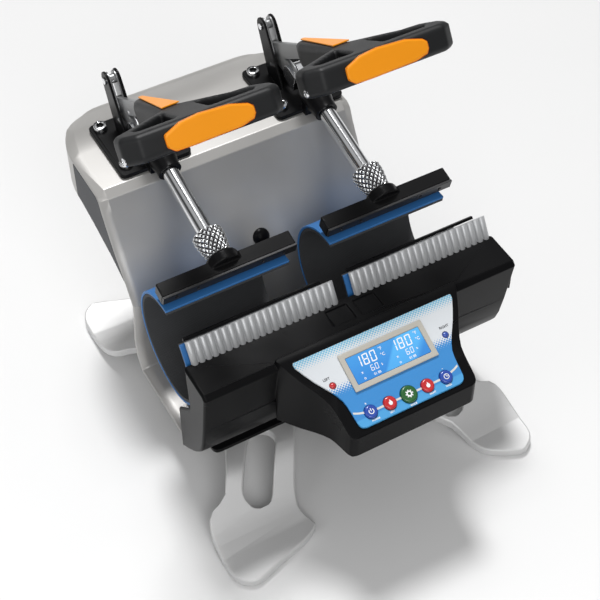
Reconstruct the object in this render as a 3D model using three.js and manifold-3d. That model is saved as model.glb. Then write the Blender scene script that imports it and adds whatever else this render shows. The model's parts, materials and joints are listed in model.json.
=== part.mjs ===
// Double mug heat press with two toggle clamps, shown open.
// Millimetres. X runs along both mugs, Y goes to the back, Z is up.
// Places are counted from the middle between the plunger rods (X), the front feet (Y) and the ground (Z).
import * as THREE from 'three';
import Module from 'manifold-3d';
import { mergeVertices } from 'three/addons/utils/BufferGeometryUtils.js';

const wasm = await Module();
wasm.setup();

// Clearances
const seatGap = 0.3;
const runningGap = 0.4;
const cutOverrun = 5;
const weldTolerance = 1e-3;

// Stations
const stationPitch = 150;
const slideAngle = 0.243;

// Heater mats, each shaped round a mug that lies on its side
const matCentreY = 144;
const matCentreZ = 154;
const matOuterRadius = 50.5;
const matSkin = 2.2;
const matLining = 2.8;
const matLeftReach = 60;
const matRightReach = 52;
const flapStartAngle = 12;
const flapEndAngle = 95;
const troughEndAngle = -144;
const matStepAngle = 12;
const jointGap = 0.6;

// Places of the mat's upright leg, in shares of the strip's height
const legShares = [0, 0.45, 0.9];

// Cutting bodies reach this many mat radii
const cutRatio = 4;

// The press bar's back face and axis, over the mat
const barSetback = 13;
const barRise = 11;
const barBackY = matCentreY + barSetback;
const barAxisZ = matCentreZ + matOuterRadius + barRise;

// Press bar and its clamp strip
const barHalfLength = 60;
const barDepth = 12.8;
const barHeight = 13;
const bossRadius = 14.5;
const bossTipRadius = 12.5;
const bossLength = 4;
const clampStripThickness = 2;
const clampStripHeight = 9.5;
const clampHoleRadius = 1.6;
const clampHoleInset = 12;
const clampHoleSpacing = 19;

// Plunger rod, knurled nut and rear clevis
const rodRadius = 7.2;
const rodSides = 24;
const nutLength = 23;
const nutTipRadius = 10.5;
const nutBaseRadius = 13.5;
const nutNeck = 2;
const rodPinDistance = 143;
const clevisRadius = 8.5;
const clevisCheek = 3;
const pinRadius = 3;

// Toggle clamp on the shelf
const clampPlateBack = 346;
const clampPlateFront = 274;
const clampPlateHalfWidth = 33;
const clampPlateThickness = 4;
const clampCornerRadius = 5;
const barrelStart = 94;
const barrelLength = 29;
const webLip = 5;
const barrelRadius = 12;
const collarRadius = 10.5;
const collarLength = 12;
const webHalfWidth = 9;
const clampShift = 6.5;
const earThickness = 2;
const linkThickness = 1.5;
const leverThickness = 4;
const topPinY = 342;
const topPinRise = 50;
const elbowPinY = 330;
const elbowPinRise = 30;
const linkEndRadius = 7;
const earEndRadius = 8;
const earFootFront = 303;
const earFootBack = 329;
const screwRadius = 5.8;
const screwHeight = 4.5;
const screwSocketRadius = 2.8;
const screwSocketDepth = 2.6;
const screwInsetX = 9;
const screwInsetFront = 12;
const screwInsetBack = 8;

// Handle
const handleAngle = 0.565;
const handleUnder = 10;
const handleThickness = 22;
const handleBevel = 3;
const handleRearReach = 68;
const handleFrontReach = 209.5;
const handleLeftReach = 65;
const handleRightReach = 64.5;
const gripLeft = 34.5;
const gripRight = 37.5;
const gripHalfHeight = 10.5;
const gripThickness = 2.6;
const gripBevel = 1;
const inlayThickness = 1.2;
const tongueDepth = 26;
const tongueHeight = 13;

// Shell: floor, wall, shelf and rounded back in one bent panel
const shellLeft = 134;
const shellRight = 111;
const shellThickness = 6;
const shellBevelRun = 8;
const shellBevelDrop = 4;
const shellFloorSetback = 4;
const floorZ = 52;
const wallFootY = 221;
const shelfFrontY = 266;
const shelfBackY = 352;
const shelfRise = 6.5;
const rearY = 393;
const rearPanelDrop = 26;
const rearSlopeDrop = 14;
const rearSlopeRun = 30;
const rearCornerRadius = 72;
const capThickness = 7;
const capEndY = 321;

// Front housing with the flared console
const housingLeft = 139;
const housingRight = 156;
const housingWall = 3;
const housingBevel = 1.6;
const ledgeRound = 4;
const housingWaistZ = 125;
const housingBackSetback = 3;
const housingDepth = 32;
const ledgeRise = 4;
const housingFootRun = 24;
const frontGroupX = 10.5;
const consoleAngle = 0.4;
const consoleSetback = 2;
const consoleRise = 4;
const consoleRun = 72;
const consoleFrontHeight = 24;
const consoleBackRun = 8;
const consoleTopHalf = 84;
const consoleBottomHalf = 60;
const labelSideMargin = 10;
const labelTopMargin = 3;
const labelFrontMargin = 4;
const labelThickness = 1.6;
const recessLength = 20;
const recessWidth = 17;
const recessDepth = 3;
const recessSpacing = 13;

// Display and buttons, counted down the console's slope from its top edge
const displayHalfWidth = 39;
const displayTop = 12;
const displayHeight = 33;
const displayFrame = 5;
const displayProud = 1.6;
const glassThickness = 1.2;
const buttonRow = 63.5;
const buttonSpacing = 17.6;
const buttonRadius = 5.6;
const middleButtonRadius = 7.2;
const buttonProud = 2.2;
const buttonStem = 4;
const lampReach = 53;
const lampDown = 32;
const lampRadius = 2.6;
const boardGap = 9;
const boardThickness = 1.6;
const boardMargin = 9;
const boardPost = 5;

// Ribbed front strips
const stripLeftReach = 56.6;
const stripRightReach = 77.6;
const stripThickness = 3;
const stripInset = 9.5;
const stripRun = 13;
const stripFootRise = 16;
const stripRise = 20;
const ribPitch = 6.1;
const ribGroove = 1.1;
const ribGrooveDepth = 1.2;
const stripSink = 12;
const edgeBarShort = 10;
const edgeBarHeight = 2.4;
const edgeBarDepth = 3;

// Base plate, cradles and legs
const baseHalfWidth = 118;
const baseFront = 104;
const baseCornerRadius = 6;
const baseBack = 224;
const baseThickness = 4;
const cradleHalfLength = 42;
const cradleHalfDepth = 18;
const legThickness = 9;
const frontLegReach = 152;
const frontLegRun = 112;
const frontLegTip = 0;
const rearLegReach = 146;
const rearLegRun = 134;
const rearLegTip = 338;
const legSlotRadius = 12.5;

// Rear fittings
const grommetRadius = 8;
const grommetHeight = 5;
const grommetX = -6;
const grommetShare = 0.75;
const inletWidth = 20;
const inletHeight = 27;
const inletDepth = 16;
const inletWall = 2;
const inletPinLength = 9;
const inletPinSize = 2;
const inletPinSpacing = 7;
const inletRise = 104;
const inletSetback = 14.5;
const switchWidth = 13;
const switchHeight = 19;
const switchDepth = 12;
const switchWall = 1.5;
const switchRise = 62;
const switchSetback = 10;
const rockerProud = 2;
const rockerAngle = 0.1;
const fittingFlange = 1.6;
const fittingProud = 1.8;

// Levels that follow from the sizes above
const shelfZ = barAxisZ + shelfRise;
const topPinZ = shelfZ + topPinRise;
const elbowPinZ = shelfZ + elbowPinRise;
const stripFootY = matCentreY - matOuterRadius + stripInset;
const stripFootZ = matCentreZ + stripFootRise;
const stripTopY = stripFootY + stripRun;
const stripTopZ = stripFootZ + stripRise;
const ledgeZ = stripFootZ + ledgeRise;
const housingBackY = stripFootY - housingBackSetback;
const housingFrontY = housingBackY - housingDepth;
const housingFootY = housingBackY + housingFootRun;
const consoleTopY = housingFrontY - consoleSetback;
const consoleFrontY = consoleTopY - consoleRun;
const consoleTopZ = ledgeZ + consoleRise;
const shellFloorFront = housingFootY + shellFloorSetback;
const rearPanelTop = shelfZ - rearPanelDrop;
const baseTop = floorZ - shellThickness - seatGap;
const baseUnder = baseTop - baseThickness;
const housingFootZ = baseTop + seatGap;

// The clamp's plates from the middle outward: lever, link plates, ears
const linkSpacing = leverThickness / 2 + seatGap;
const earSpacing = linkSpacing + linkThickness + seatGap;

// Finishes: colour, roughness, metalness
const finishes = {
  silver: [0xb9bcc0, 0.35, 0.6],
  darkGrey: [0x3d4045, 0.6, 0.1],
  black: [0x17181a, 0.45, 0.1],
  chrome: [0xe6e8ea, 0.12, 1],
  steel: [0x9da1a6, 0.35, 0.9],
  charcoal: [0x2d2f32, 0.55, 0],
  orange: [0xe68c1e, 0.45, 0],
  ribGrey: [0xc4c7ca, 0.4, 0.7],
  blue: [0x2878be, 0.6, 0],
  lining: [0x414347, 0.8, 0],
  labelBlue: [0x7fc0e6, 0.4, 0],
  bezel: [0xb7b3a8, 0.5, 0],
  glass: [0x3ca0e1, 0.15, 0],
  board: [0x1f6b3a, 0.6, 0],
  buttonBlue: [0x1446aa, 0.35, 0],
  buttonRed: [0xc81419, 0.35, 0],
  buttonGreen: [0x0a5a1e, 0.35, 0],
};

const model = new THREE.Group();
model.name = 'double_mug_press';

function finishOf(key) {
  const [color, roughness, metalness] = finishes[key];
  return new THREE.MeshStandardMaterial({ color, roughness, metalness });
}

function addPart(parent, name, geometry, finish) {
  const mesh = new THREE.Mesh(geometry, finishOf(finish));
  mesh.name = name;
  parent.add(mesh);
  return mesh;
}

// Boolean work on closed shapes
function toSolid(geometry) {
  const bare = geometry.index ? geometry.toNonIndexed() : geometry.clone();
  bare.deleteAttribute('normal');
  bare.deleteAttribute('uv');
  const welded = mergeVertices(bare, weldTolerance);
  const vertProperties = new Float32Array(welded.attributes.position.array);
  const triVerts = new Uint32Array(welded.index.array);
  return new wasm.Manifold(new wasm.Mesh({ numProp: 3, vertProperties, triVerts }));
}

function toGeometry(solid) {
  const mesh = solid.getMesh();
  const geometry = new THREE.BufferGeometry();
  geometry.setAttribute(
    'position', new THREE.BufferAttribute(new Float32Array(mesh.vertProperties), 3)
  );
  geometry.setIndex(new THREE.BufferAttribute(new Uint32Array(mesh.triVerts), 1));
  const flat = geometry.toNonIndexed();
  flat.computeVertexNormals();
  return flat;
}

function unite(...geometries) {
  return toGeometry(geometries.map(toSolid).reduce((a, b) => a.add(b)));
}

function cutAway(body, ...tools) {
  return toGeometry(tools.map(toSolid).reduce((a, b) => a.subtract(b), toSolid(body)));
}

function commonOf(first, second) {
  return toGeometry(toSolid(first).intersect(toSolid(second)));
}

// Outlines: lists of points, and lists of shares of a width and a height
function shareOutline(shares, width, height, startX = 0, startY = 0) {
  return shares.map(([across, up]) => [startX + across * width, startY + up * height]);
}

// Smooth curve through a row of points
function curveThrough(points, steps) {
  const spline = new THREE.SplineCurve(points.map(([x, y]) => new THREE.Vector2(x, y)));
  return spline.getPoints((points.length - 1) * steps).map((point) => [point.x, point.y]);
}

function shapeOf(points, holes = []) {
  const shape = new THREE.Shape(points.map(([x, y]) => new THREE.Vector2(x, y)));
  for (const hole of holes) {
    shape.holes.push(new THREE.Path(hole.map(([x, y]) => new THREE.Vector2(x, y))));
  }
  return shape;
}

function circlePoints(x, y, radius, sides = 20) {
  const points = [];
  for (let i = 0; i < sides; i += 1) {
    const angle = (2 * Math.PI * i) / sides;
    points.push([x + radius * Math.cos(angle), y + radius * Math.sin(angle)]);
  }
  return points;
}

function roundedBox(width, height, radius, steps = 4) {
  const points = [];
  const corners = [[1, 1], [-1, 1], [-1, -1], [1, -1]];
  corners.forEach(([sideX, sideY], corner) => {
    for (let i = 0; i <= steps; i += 1) {
      const angle = (Math.PI / 2) * (corner + i / steps);
      const centreX = sideX * (width / 2 - radius);
      const centreY = sideY * (height / 2 - radius);
      points.push([centreX + radius * Math.cos(angle), centreY + radius * Math.sin(angle)]);
    }
  });
  return points;
}

// Fat line between two points, with round ends; the end's cap comes first
const capSides = 8;

function capsulePoints(start, end, startRadius, endRadius, steps = capSides) {
  const along = Math.atan2(end[1] - start[1], end[0] - start[0]);
  const points = [];
  for (let i = 0; i <= steps; i += 1) {
    const angle = along - Math.PI / 2 + (Math.PI * i) / steps;
    points.push([end[0] + endRadius * Math.cos(angle), end[1] + endRadius * Math.sin(angle)]);
  }
  for (let i = 0; i <= steps; i += 1) {
    const angle = along + Math.PI / 2 + (Math.PI * i) / steps;
    points.push([start[0] + startRadius * Math.cos(angle), start[1] + startRadius * Math.sin(angle)]);
  }
  return points;
}

// Extrusions: a side profile (Y, Z) along X, a plan (X, Y) along Z
const sideToWorld = new THREE.Matrix4().makeBasis(
  new THREE.Vector3(0, 1, 0),
  new THREE.Vector3(0, 0, 1),
  new THREE.Vector3(1, 0, 0),
);

function extrude(shape, depth, bevelRun = 0, bevelSize = 0) {
  const hasBevel = bevelRun > 0;
  return new THREE.ExtrudeGeometry(shape, {
    depth: depth - 2 * bevelRun,
    bevelEnabled: hasBevel,
    bevelThickness: bevelRun,
    bevelSize,
    bevelOffset: -bevelSize,
    bevelSegments: 1,
    curveSegments: 8,
  }).translate(0, 0, bevelRun);
}

function alongX(points, fromX, toX, bevelRun = 0, bevelSize = 0, holes = []) {
  const geometry = extrude(shapeOf(points, holes), toX - fromX, bevelRun, bevelSize);
  return geometry.applyMatrix4(sideToWorld).translate(fromX, 0, 0);
}

function alongZ(points, fromZ, toZ, bevelRun = 0, bevelSize = 0, holes = []) {
  return extrude(shapeOf(points, holes), toZ - fromZ, bevelRun, bevelSize).translate(0, 0, fromZ);
}

function box(fromX, toX, fromY, toY, fromZ, toZ) {
  const geometry = new THREE.BoxGeometry(toX - fromX, toY - fromY, toZ - fromZ);
  return geometry.translate((fromX + toX) / 2, (fromY + toY) / 2, (fromZ + toZ) / 2);
}

// Turned shape about the Y axis from [radius, place] pairs
function turned(profile, sides = rodSides) {
  return new THREE.LatheGeometry(profile.map(([r, y]) => new THREE.Vector2(r, y)), sides);
}

function rodAlongX(fromX, toX, y, z, radius, sides = 16) {
  return alongX(circlePoints(y, z, radius, sides), fromX, toX);
}

// The slide frame: local Y runs back and up along the rod, local Z stands square to it
const slideCos = Math.cos(slideAngle);
const slideSin = Math.sin(slideAngle);

function slideToWorld(y, z) {
  return [barBackY + y * slideCos - z * slideSin, barAxisZ + y * slideSin + z * slideCos];
}

function worldToSlide(y, z) {
  const dy = y - barBackY;
  const dz = z - barAxisZ;
  return [dy * slideCos + dz * slideSin, dz * slideCos - dy * slideSin];
}

// Mat section: centre line from the bar over the back, under the mug and up behind the front strip
const stripAngle = Math.atan2(stripTopZ - stripFootZ, stripTopY - stripFootY);
const stripNormal = [Math.sin(stripAngle), -Math.cos(stripAngle)];
const matThickness = matSkin + matLining;
const matMidRadius = matOuterRadius - matThickness / 2;

function ringPoint(angle, radius = matMidRadius) {
  const turn = THREE.MathUtils.degToRad(angle);
  return new THREE.Vector2(matCentreY + radius * Math.cos(turn), matCentreZ + radius * Math.sin(turn));
}

function behindStrip(share) {
  const inset = stripThickness + seatGap + matThickness / 2;
  const y = stripFootY + share * (stripTopY - stripFootY) + stripNormal[0] * inset;
  const z = stripFootZ + share * (stripTopZ - stripFootZ) + stripNormal[1] * inset;
  return new THREE.Vector2(y, z);
}

function troughLine() {
  const points = [];
  for (let angle = flapStartAngle; angle >= troughEndAngle; angle -= matStepAngle) {
    points.push(ringPoint(angle));
  }
  const frontShares = [[0.02, 0.35], [0.005, 0.6]];
  for (const [inward, rise] of frontShares) {
    const start = ringPoint(troughEndAngle);
    const end = behindStrip(0);
    const y = start.x + (end.x - start.x) * rise - inward * matMidRadius;
    points.push(new THREE.Vector2(y, start.y + (end.y - start.y) * rise));
  }
  points.push(...legShares.map((share) => behindStrip(share)));
  return points;
}

function flapLine() {
  const points = [];
  const steps = Math.round((flapEndAngle - flapStartAngle) / matStepAngle);
  for (let i = 0; i <= steps; i += 1) {
    points.push(ringPoint(flapStartAngle + ((flapEndAngle - flapStartAngle) * i) / steps));
  }
  return points;
}

// Open line moved sideways; a positive distance lies to the left of its direction
function offsetLine(line, distance) {
  return line.map(([x, y], i) => {
    const before = line[Math.max(i - 1, 0)];
    const after = line[Math.min(i + 1, line.length - 1)];
    const along = new THREE.Vector2(after[0] - before[0], after[1] - before[1]).normalize();
    return [x - along.y * distance, y + along.x * distance];
  });
}

// Band between two offsets from a line
function bandPoints(line, fromOffset, toOffset) {
  const pairs = line.map((point) => [point.x, point.y]);
  return [...offsetLine(pairs, fromOffset), ...offsetLine(pairs, toOffset).reverse()];
}

// Everything above the sliding joint belongs to the flap, everything below it to the trough
const jointPoint = ringPoint(flapStartAngle);

function belowJoint(fromX, toX) {
  const reach = cutRatio * matOuterRadius;
  const [y, z] = worldToSlide(jointPoint.x, jointPoint.y);
  const near = z + jointGap / 2;
  const corners = [
    [y - reach, near], [y + reach, near], [y + reach, z - reach], [y - reach, z - reach],
  ];
  return alongX(
    corners.map(([localY, localZ]) => slideToWorld(localY, localZ)), fromX - cutOverrun,
    toX + cutOverrun,
  );
}

function extendLine(line, length) {
  const first = line[0].clone().add(line[0].clone().sub(line[1]).setLength(length));
  return [first, ...line];
}

// Region above the joint on the back side only, taken off the trough
function aboveJoint(fromX, toX) {
  const reach = cutRatio * matOuterRadius;
  const [y, z] = worldToSlide(jointPoint.x, jointPoint.y);
  const near = z - jointGap / 2;
  const corners = [
    [y - matOuterRadius, near], [y + reach, near], [y + reach, z + reach],
    [y - matOuterRadius, z + reach],
  ];
  return alongX(
    corners.map(([localY, localZ]) => slideToWorld(localY, localZ)), fromX - cutOverrun,
    toX + cutOverrun,
  );
}

// Layers of the mat: the blue skin outside, the dark lining inside
function matPiece(line, side, fromX, toX, isUpper) {
  const middle = matThickness / 2;
  const split = middle - matSkin;
  const outward = isUpper ? -1 : 1;
  const offsets = side === 'skin' ? [middle, split + seatGap / 2] : [split - seatGap / 2, -middle];
  const band = bandPoints(extendLine(line, matThickness), outward * offsets[0], outward * offsets[1]);
  const other = isUpper ? belowJoint(fromX, toX) : aboveJoint(fromX, toX);
  return cutAway(alongX(band, fromX, toX), other);
}

function buildMats(name, x) {
  const fromX = x - matLeftReach;
  const toX = x + matRightReach;
  addPart(model, `mat_trough_skin_${name}`, matPiece(troughLine(), 'skin', fromX, toX, false), 'blue');
  addPart(
    model, `mat_trough_lining_${name}`, matPiece(troughLine(), 'lining', fromX, toX, false), 'lining'
  );
  addPart(model, `mat_flap_skin_${name}`, matPiece(flapLine(), 'skin', fromX, toX, true), 'blue');
  addPart(model, `mat_flap_lining_${name}`, matPiece(flapLine(), 'lining', fromX, toX, true), 'lining');
}

// Cradle block that carries the mat from the floor of the shell
function buildCradle(name, x) {
  const steps = 10;
  const arc = [];
  const radius = matOuterRadius + seatGap;
  const halfTurn = Math.asin(cradleHalfDepth / radius);
  for (let i = 0; i <= steps; i += 1) {
    const turn = -Math.PI / 2 + halfTurn - (2 * halfTurn * i) / steps;
    arc.push([matCentreY + radius * Math.cos(turn), matCentreZ + radius * Math.sin(turn)]);
  }
  const foot = floorZ + seatGap;
  const points = [[matCentreY - cradleHalfDepth, foot], [matCentreY + cradleHalfDepth, foot], ...arc];
  addPart(
    model, `mat_cradle_${name}`, alongX(points, x - cradleHalfLength, x + cradleHalfLength), 'black'
  );
}

// Sliding parts, drawn in the slide frame
function slideGroup(x) {
  const group = new THREE.Group();
  group.position.set(x, barBackY, barAxisZ);
  group.rotation.x = slideAngle;
  model.add(group);
  return group;
}

function buildPressBar(group, name) {
  const bar = box(-barHalfLength, barHalfLength, -barDepth, 0, -barHeight / 2, barHeight / 2);
  const bossProfile = [[0, -barDepth / 2], [bossRadius, -barDepth / 2], [bossRadius, bossLength / 2]];
  const boss = turned([...bossProfile, [bossTipRadius, bossLength], [0, bossLength]]);
  const slab = box(
    -bossRadius, bossRadius, -barDepth, bossLength + cutOverrun, -barHeight / 2, bossRadius
  );
  addPart(group, `press_bar_${name}`, unite(bar, commonOf(boss, slab)), 'black');
}

function buildClampStrip(group, name) {
  const front = -barDepth - seatGap;
  const top = barHeight / 2;
  const strip = box(
    -barHalfLength, barHalfLength, front - clampStripThickness, front, top - clampStripHeight, top
  );
  const holes = [];
  const outerHole = barHalfLength - clampHoleInset;
  const innerHole = outerHole - clampHoleSpacing;
  const places = [-outerHole, -innerHole, outerHole, innerHole];
  for (const x of places) {
    const hole = turned(
      [
        [0, -cutOverrun], [clampHoleRadius, -cutOverrun], [clampHoleRadius, cutOverrun],
        [0, cutOverrun],
      ],
      10,
    );
    holes.push(hole.translate(x, front, top - clampStripHeight / 2));
  }
  addPart(group, `clamp_strip_${name}`, cutAway(strip, ...holes), 'steel');
}

const rodStart = bossLength + seatGap;

function buildRod(group, name) {
  const shoulder = rodPinDistance - clevisRadius;
  const rod = turned([[0, rodStart], [rodRadius, rodStart], [rodRadius, shoulder], [0, shoulder]]);
  const slotHalf = leverThickness / 2 + runningGap;
  const left = -clampShift - slotHalf - clevisCheek;
  const head = alongX(circlePoints(rodPinDistance, 0, clevisRadius), left, rodRadius);
  const neck = box(
    left, rodRadius, shoulder - clevisCheek, rodPinDistance, -clevisRadius, clevisRadius
  );
  const slotStart = shoulder - clevisCheek / 2;
  const slotEnd = rodPinDistance + clevisRadius + cutOverrun;
  const slotReach = clevisRadius + cutOverrun;
  const slot = box(
    -clampShift - slotHalf, -clampShift + slotHalf, slotStart, slotEnd, -slotReach, slotReach
  );
  const fork = cutAway(unite(head, neck), slot);
  const pin = rodAlongX(left, rodRadius, rodPinDistance, 0, pinRadius);
  addPart(group, `plunger_rod_${name}`, unite(rod, fork, pin), 'chrome');
}

function buildNut(group, name) {
  const start = rodStart + seatGap;
  const bore = rodRadius + seatGap;
  const end = start + nutLength;
  const outer = turned([
    [0, start],
    [nutBaseRadius, start],
    [nutBaseRadius, start + nutLength / 4],
    [nutTipRadius + (nutBaseRadius - nutTipRadius) / 3, end - nutLength / 3],
    [nutTipRadius, end - nutNeck],
    [nutTipRadius - nutNeck / 2, end],
    [0, end],
  ], 28);
  const from = start - cutOverrun;
  const to = end + cutOverrun;
  const hole = turned([[0, from], [bore, from], [bore, to], [0, to]]);
  addPart(group, `knurled_nut_${name}`, cutAway(outer, hole), 'chrome');
}

// Clamp base: foot plate, barrel round the rod, web and two tall ears
function earOutline() {
  const footTop = shelfZ + seatGap + clampPlateThickness / 2;
  const footMiddle = [(earFootFront + earFootBack) / 2, footTop];
  const crown = capsulePoints(
    footMiddle, [topPinY, topPinZ], earEndRadius, earEndRadius
  ).slice(0, capSides + 1);
  return [[earFootFront, footTop], [earFootBack, footTop], ...crown];
}

function buildClampBase(name, x) {
  const plateBottom = shelfZ + seatGap;
  const plateTop = plateBottom + clampPlateThickness;
  const width = 2 * clampPlateHalfWidth;
  const depth = clampPlateBack - clampPlateFront;
  const middle = (clampPlateBack + clampPlateFront) / 2;
  const outline = roundedBox(width, depth, clampCornerRadius).map(([px, py]) => [px + x, py + middle]);
  const plate = alongZ(outline, plateBottom, plateTop);
  const barrelEnd = barrelStart + barrelLength;
  const barrelBore = rodRadius + runningGap;
  const barrel = turned([
    [0, barrelStart],
    [collarRadius, barrelStart],
    [collarRadius, barrelStart + collarLength / 2],
    [barrelRadius, barrelStart + collarLength],
    [barrelRadius, barrelEnd],
    [0, barrelEnd],
  ]).rotateX(slideAngle).translate(x, barBackY, barAxisZ);
  const from = barrelStart - cutOverrun;
  const to = rodPinDistance;
  const bore = turned([[0, from], [barrelBore, from], [barrelBore, to], [0, to]])
    .rotateX(slideAngle).translate(x, barBackY, barAxisZ);
  const [webBack, webTop] = slideToWorld(barrelEnd, 0);
  const web = box(
    x - webHalfWidth, x + webHalfWidth, clampPlateFront - webLip, webBack, plateBottom, webTop
  );
  const ears = [-1, 1].map((side) => {
    const inner = side * earSpacing;
    const outer = side * (earSpacing + earThickness);
    const [low, high] = side > 0 ? [inner, outer] : [outer, inner];
    const hole = circlePoints(topPinY, topPinZ, pinRadius + seatGap).reverse();
    return alongX(earOutline(), x - clampShift + low, x - clampShift + high, 0, 0, [hole]);
  });
  const screws = [];
  for (const side of [-1, 1]) {
    const rows = [clampPlateFront + screwInsetFront, clampPlateBack - screwInsetBack];
    for (const y of rows) {
      const place = x + side * (clampPlateHalfWidth - screwInsetX);
      screws.push(alongZ(circlePoints(place, y, screwRadius, 14), plateBottom, plateTop + screwHeight));
    }
  }
  const sockets = [];
  for (const side of [-1, 1]) {
    const rows = [clampPlateFront + screwInsetFront, clampPlateBack - screwInsetBack];
    for (const y of rows) {
      const place = x + side * (clampPlateHalfWidth - screwInsetX);
      const top = plateTop + screwHeight;
      const socket = circlePoints(place, y, screwSocketRadius, 6);
      sockets.push(alongZ(socket, top - screwSocketDepth, top + cutOverrun));
    }
  }
  const whole = unite(plate, web, barrel, ...ears, ...screws);
  addPart(model, `clamp_base_${name}`, cutAway(whole, bore, ...sockets), 'black');
}

function buildPivotPin(name, x) {
  const half = earSpacing + earThickness + pinRadius / 2;
  addPart(
    model, `pivot_pin_${name}`, rodAlongX(x - half, x + half, topPinY, topPinZ, pinRadius), 'chrome'
  );
}

// Swing link between the ears' top pin and the lever's elbow, two plates and a spacer round the pin
function buildLink(name, x) {
  const outline = capsulePoints(
    [elbowPinY, elbowPinZ], [topPinY, topPinZ], linkEndRadius, linkEndRadius
  );
  const hole = circlePoints(topPinY, topPinZ, pinRadius + runningGap).reverse();
  const sides = [-1, 1].flatMap((side) => {
    const inner = side * linkSpacing;
    const outer = side * (linkSpacing + linkThickness);
    const [low, high] = side > 0 ? [inner, outer] : [outer, inner];
    return [alongX(outline, x + low, x + high, 0, 0, [hole])];
  });
  const spacerRing = circlePoints(topPinY, topPinZ, pinRadius + runningGap + linkThickness / 2);
  const spacer = alongX(
    spacerRing, x - linkSpacing - linkThickness / 2, x + linkSpacing + linkThickness / 2, 0, 0, [hole]
  );
  addPart(model, `swing_link_${name}`, unite(...sides, spacer), 'steel');
}

// Handle parts share a frame at the elbow pin whose local -Y runs forward and up
const handleCos = Math.cos(handleAngle);
const handleSin = Math.sin(handleAngle);

function handleGroup(x) {
  const group = new THREE.Group();
  group.position.set(x, elbowPinY, elbowPinZ);
  group.rotation.x = -handleAngle;
  model.add(group);
  return group;
}

// Place of a side point (Y, Z) in the handle's frame
function toHandle(y, z) {
  const dy = y - elbowPinY;
  const dz = z - elbowPinZ;
  return [dy * handleCos - dz * handleSin, dy * handleSin + dz * handleCos];
}

const handleMid = handleThickness / 2 - handleUnder;

function buildLever(group, name) {
  const half = leverThickness / 2;
  const pinPlace = toHandle(...slideToWorld(rodPinDistance, 0));
  const hole = circlePoints(...pinPlace, pinRadius + runningGap).reverse();
  const radius = clevisRadius - seatGap;
  const arm = alongX(capsulePoints(pinPlace, [0, 0], radius, radius), -half, half, 0, 0, [hole]);
  const tongueEnd = -handleRearReach - tongueDepth;
  const low = handleMid - tongueHeight / 2;
  const high = handleMid + tongueHeight / 2;
  const tonguePoints = [
    [0, -radius], [radius, 0], [0, high], [tongueEnd, high], [tongueEnd, low],
    [-handleRearReach + tongueHeight, low],
  ];
  const tongue = alongX(tonguePoints.reverse(), -half, half);
  addPart(group, `lever_${name}`, unite(arm, tongue), 'steel');
}

// Handle outline: shares of the side reach (across) and of the run from rear to front (along)
const handleOuterShares = [
  [-0.12, 0], [0.03, 0], [0.1, 0.54], [0.6, 0.735], [0.84, 0.755], [1, 0.86],
  [1, 0.95], [0.86, 1], [-0.82, 1], [-1, 0.93], [-1, 0.83], [-0.78, 0.765], [-0.22, 0.58], [-0.2, 0.1],
];
const leftWindowShares = [[-0.72, 0.9], [-0.76, 0.85], [-0.28, 0.68], [-0.26, 0.7], [-0.26, 0.9]];
const rightWindowShares = [
  [0.19, 0.66], [0.68, 0.81], [0.78, 0.855], [0.72, 0.9], [0.17, 0.9], [0.17, 0.68],
];
const inlayShares = [[-0.05, 0.02], [0.01, 0.02], [0.07, 0.56], [-0.17, 0.57]];

function handlePoints(shares) {
  const run = handleFrontReach - handleRearReach;
  return shares.map(([across, along]) => {
    const side = across < 0 ? handleLeftReach : handleRightReach;
    return [across * side, -(handleRearReach + along * run)];
  });
}

const handleTop = handleThickness - handleUnder;

function buildHandle(group, name) {
  const body = alongZ(
    handlePoints(handleOuterShares).reverse(), -handleUnder, handleTop, handleBevel, handleBevel
  );
  const windows = [leftWindowShares, rightWindowShares].map((shares) => {
    return alongZ(handlePoints(shares), -handleUnder - cutOverrun, handleTop + cutOverrun);
  });
  const slotHalf = leverThickness / 2 + seatGap;
  const slotFront = -handleRearReach - tongueDepth - seatGap;
  const slotLow = handleMid - tongueHeight / 2 - seatGap;
  const slotHigh = handleMid + tongueHeight / 2 + seatGap;
  const slot = box(-slotHalf, slotHalf, slotFront, 0, slotLow, slotHigh);
  addPart(group, `handle_${name}`, cutAway(body, ...windows, slot), 'charcoal');
}

// Insert on the front face of the grip: shares of its reach to each side and of its half height
const gripShares = [
  [-1, 0.45], [-0.6, 0.98], [-0.16, 1.12], [0.52, 0.96], [0.9, 0.56], [1, 0.27],
  [1, -0.27], [0.94, -0.64], [0.65, -0.86], [-0.4, -0.92], [-0.84, -0.88], [-1, -0.45],
];

function buildGrip(group, name) {
  const points = gripShares.map(([across, up]) => {
    const side = across < 0 ? gripLeft : gripRight;
    return [across * side, handleMid + up * gripHalfHeight];
  });
  const plate = extrude(
    shapeOf(points.reverse()), gripThickness, gripBevel, gripBevel
  ).rotateX(Math.PI / 2);
  addPart(group, `grip_insert_${name}`, plate.translate(0, -handleFrontReach - seatGap, 0), 'orange');
}

// Thin inlay on top of the handle's neck
function buildInlay(group, name) {
  const low = handleTop + seatGap;
  addPart(
    group, `neck_inlay_${name}`,
    alongZ(handlePoints(inlayShares).reverse(), low, low + inlayThickness), 'orange',
  );
}

// Shell: side profile in shares of the wall's run and rise, then the shelf and the rounded back
const wallShares = [
  [-0.2, 0], [-0.07, 0.06], [-0.04, 0.17], [-0.16, 0.37], [-0.2, 0.48],
  [0.09, 0.605], [0.4, 0.705], [0.6, 0.79], [0.84, 0.9], [0.96, 0.97],
];

function wallPoints() {
  return shareOutline(wallShares, shelfFrontY - wallFootY, shelfZ - floorZ, wallFootY, floorZ);
}

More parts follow.
